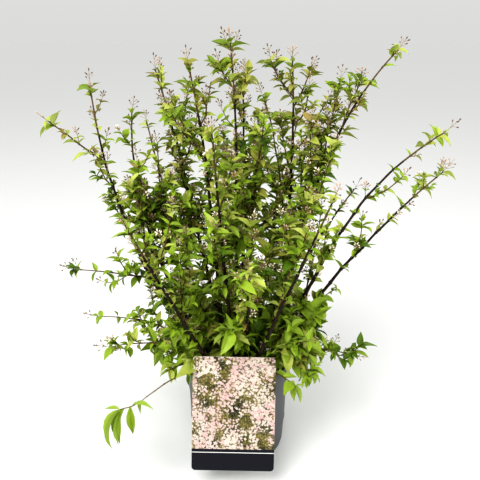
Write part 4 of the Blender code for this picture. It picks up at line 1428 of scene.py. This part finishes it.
def make_canes():
    """Bark with relief on the canes, and the woody foot they spring from."""
    mesh = tubes("cane_bark", grown().canes, 10)
    roughen(mesh, 0.45 * MM, 420, 70)
    bark = piece("cane_bark", mesh, "bark", bark_material())
    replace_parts(bark, *[node for node in NODES if node.startswith("cane_")])

    low = COMPOST_TOP + SEAT
    steps = 9
    profile = [(FOOT_TOP * i / steps, low + FOOT_HEIGHT) for i in range(steps + 1)]
    for i in range(1, 5):
        share = i / 4
        flare = FOOT_TOP + 2 * MM + (FOOT_FLARE - FOOT_TOP - 2 * MM) * share ** 2
        profile.append((flare, low + FOOT_HEIGHT * 0.75 * (1 - share)))
    profile.append((0, low))
    bm = spun(profile, 80)
    for vertex in bm.verts:
        if vertex.co.z > low + MM:
            knot = noise.noise(vertex.co * 90) + 0.5 * noise.noise(vertex.co * 260)
            vertex.co.z -= 2.2 * MM * abs(knot)
            vertex.co.xy *= 1 - 0.05 * abs(noise.noise(vertex.co * 140))
    foot = piece("woody_foot", smooth(bm, math.radians(50)), "bark", bark_material())
    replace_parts(foot, "stem_foot")


def make_twigs():
    """The canes' young ends and all side twigs."""
    mesh = tubes("young_shoots", grown().young, 8)
    roughen(mesh, 0.12 * MM, 500, 90)
    piece("young_shoots", mesh, "bark", young_bark_material())
    piece("side_twigs", tubes("side_twigs", grown().twigs, 4), "bark", young_bark_material())


def make_leaves():
    """The leaves of each part of the crown and of the skirt, each leaf in its spray's colour."""
    shapes = [leaf_shape(number) for number in range(LEAF_SHAPES)]
    groups = sorted({leaf.group for leaf in grown().leaves})
    for group in groups:
        copies = [(leaf.shape, leaf.matrix, leaf.tint) for leaf in grown().leaves if leaf.group == group]
        mesh = joined(f"leaves_{group}", shapes, copies)
        mesh.set_sharp_from_angle(angle=math.radians(28))
        made = piece(f"leaves_{group}", mesh, "foliage", *leaf_materials())
        prefix = "skirt_" if group == "skirt" else f"foliage_{group}_"
        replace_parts(made, *[node for node in NODES if node.startswith(prefix)])


def make_buds():
    """The sprays of flower buds and their stalks."""
    copies = [(0, bud.matrix, bud.tint) for bud in grown().buds]
    piece("flower_buds", joined("flower_buds", [bud_shape()], copies), "foliage", *bud_materials())
    piece("bud_stalks", tubes("bud_stalks", grown().stalks, 4), "foliage", stalk_material())


def add_light(name, place, aim, size, power):
    lamp = bpy.data.lights.new(name, "AREA")
    lamp.shape = "DISK"
    lamp.size = size
    lamp.energy = power
    made = bpy.data.objects.new(name, lamp)
    made.location = place
    made.rotation_euler = (Vector(aim) - Vector(place)).to_track_quat("-Z", "Y").to_euler()
    bpy.context.scene.collection.objects.link(made)


def make_stage():
    """Plain pale floor, soft studio light, and the camera at the photograph's place."""
    stage = bpy.context.scene.deutzia_stage
    bm = bmesh.new()
    bmesh.ops.create_circle(bm, cap_ends=True, segments=96, radius=40)
    mesh = bpy.data.meshes.new("floor")
    bm.to_mesh(mesh)
    bm.free()
    look, net, shader = new_material("floor", 0.65, 0.0)
    shader.inputs["Base Color"].default_value = rgba(stage.floor)
    mesh.materials.append(look)
    floor = bpy.data.objects.new("floor", mesh)
    bpy.context.scene.collection.objects.link(floor)

    world = bpy.data.worlds.new("studio")
    bpy.context.scene.world = world
    world.use_nodes = True
    sky = world.node_tree.nodes["Background"]
    net = Net(world.node_tree)
    height = net.add("ShaderNodeSeparateXYZ")
    net.join(net.add("ShaderNodeTexCoord").outputs["Generated"], height.inputs[0])
    haze = [part * floor for part, floor in zip(stage.sky, stage.floor)]
    net.join(net.mix(net.band(height.outputs["Z"], 0.0, 0.3), rgba(haze), rgba(stage.sky)), sky.inputs["Color"])
    sky.inputs["Strength"].default_value = 0.71
    add_light("key", (-0.9, -1.5, 2.4), (0, 0, 0.35), 1.6, stage.key_power)
    add_light("fill", (1.6, -1.2, 1.5), (0, 0, 0.35), 1.6, 0.3 * stage.key_power)

    camera = bpy.data.cameras.new("camera")
    camera.sensor_width = SENSOR_WIDTH
    camera.lens = SENSOR_WIDTH * FOCAL_PIXELS / PHOTO_SIZE
    made = bpy.data.objects.new("camera", camera)
    made.location = CAMERA_PLACE
    made.rotation_euler = (math.radians(90) - CAMERA_PITCH, 0, 0)
    bpy.context.scene.collection.objects.link(made)
    bpy.context.scene.camera = made
    bpy.context.scene.view_settings.view_transform = "Standard"
    bpy.context.scene.view_settings.look = "High Contrast"


# Operators


class DEUTZIA_OT_pot(bpy.types.Operator):
    """Make the nursery pot"""
    bl_idname = "deutzia.pot"
    bl_label = "Pot"

    def execute(self, context):
        make_pot()
        return {"FINISHED"}


class DEUTZIA_OT_compost(bpy.types.Operator):
    """Make the compost and its crumbs"""
    bl_idname = "deutzia.compost"
    bl_label = "Compost"

    def execute(self, context):
        make_compost()
        return {"FINISHED"}


class DEUTZIA_OT_card(bpy.types.Operator):
    """Make the picture card and its hook"""
    bl_idname = "deutzia.card"
    bl_label = "Card"

    def execute(self, context):
        make_card()
        return {"FINISHED"}


class DEUTZIA_OT_canes(bpy.types.Operator):
    """Make the canes' bark and the woody foot"""
    bl_idname = "deutzia.canes"
    bl_label = "Canes"

    def execute(self, context):
        make_canes()
        return {"FINISHED"}


class DEUTZIA_OT_twigs(bpy.types.Operator):
    """Make the young shoots and side twigs"""
    bl_idname = "deutzia.twigs"
    bl_label = "Twigs"

    def execute(self, context):
        make_twigs()
        return {"FINISHED"}


class DEUTZIA_OT_leaves(bpy.types.Operator):
    """Make all leaves"""
    bl_idname = "deutzia.leaves"
    bl_label = "Leaves"

    def execute(self, context):
        make_leaves()
        return {"FINISHED"}


class DEUTZIA_OT_buds(bpy.types.Operator):
    """Make the flower buds and their stalks"""
    bl_idname = "deutzia.buds"
    bl_label = "Buds"

    def execute(self, context):
        make_buds()
        return {"FINISHED"}


class DEUTZIA_OT_stage(bpy.types.Operator):
    """Make the floor, the lights and the camera"""
    bl_idname = "deutzia.stage"
    bl_label = "Stage"

    def execute(self, context):
        make_stage()
        return {"FINISHED"}


OPERATORS = (DEUTZIA_OT_pot, DEUTZIA_OT_compost, DEUTZIA_OT_card, DEUTZIA_OT_canes, DEUTZIA_OT_twigs,
             DEUTZIA_OT_leaves, DEUTZIA_OT_buds, DEUTZIA_OT_stage)


class DEUTZIA_PT_panel(bpy.types.Panel):
    """Sizes, colours and pieces of the potted deutzia"""
    bl_idname = "DEUTZIA_PT_panel"
    bl_label = "Potted pink deutzia"
    bl_space_type = "VIEW_3D"
    bl_region_type = "UI"
    bl_category = "Deutzia"

    def draw(self, context):
        for holder in (context.scene.deutzia_growth, context.scene.deutzia_finish, context.scene.deutzia_stage):
            box = self.layout.box()
            for name in holder.bl_rna.properties.keys():
                if name not in ("rna_type", "name"):
                    box.prop(holder, name)
        for operator in OPERATORS:
            self.layout.operator(operator.bl_idname)


CLASSES = (GrowthSettings, FinishSettings, StageSettings, *OPERATORS, DEUTZIA_PT_panel)


def register():
    for made in CLASSES:
        bpy.utils.register_class(made)
    bpy.types.Scene.deutzia_growth = PointerProperty(type=GrowthSettings)
    bpy.types.Scene.deutzia_finish = PointerProperty(type=FinishSettings)
    bpy.types.Scene.deutzia_stage = PointerProperty(type=StageSettings)


def unregister():
    del bpy.types.Scene.deutzia_stage
    del bpy.types.Scene.deutzia_finish
    del bpy.types.Scene.deutzia_growth
    for made in reversed(CLASSES):
        bpy.utils.unregister_class(made)


def main():
    register()
    bpy.ops.deutzia.pot()
    bpy.ops.deutzia.compost()
    bpy.ops.deutzia.card()
    bpy.ops.deutzia.canes()
    bpy.ops.deutzia.twigs()
    bpy.ops.deutzia.leaves()
    bpy.ops.deutzia.buds()
    bpy.ops.deutzia.stage()


if __name__ == "__main__":
    main()
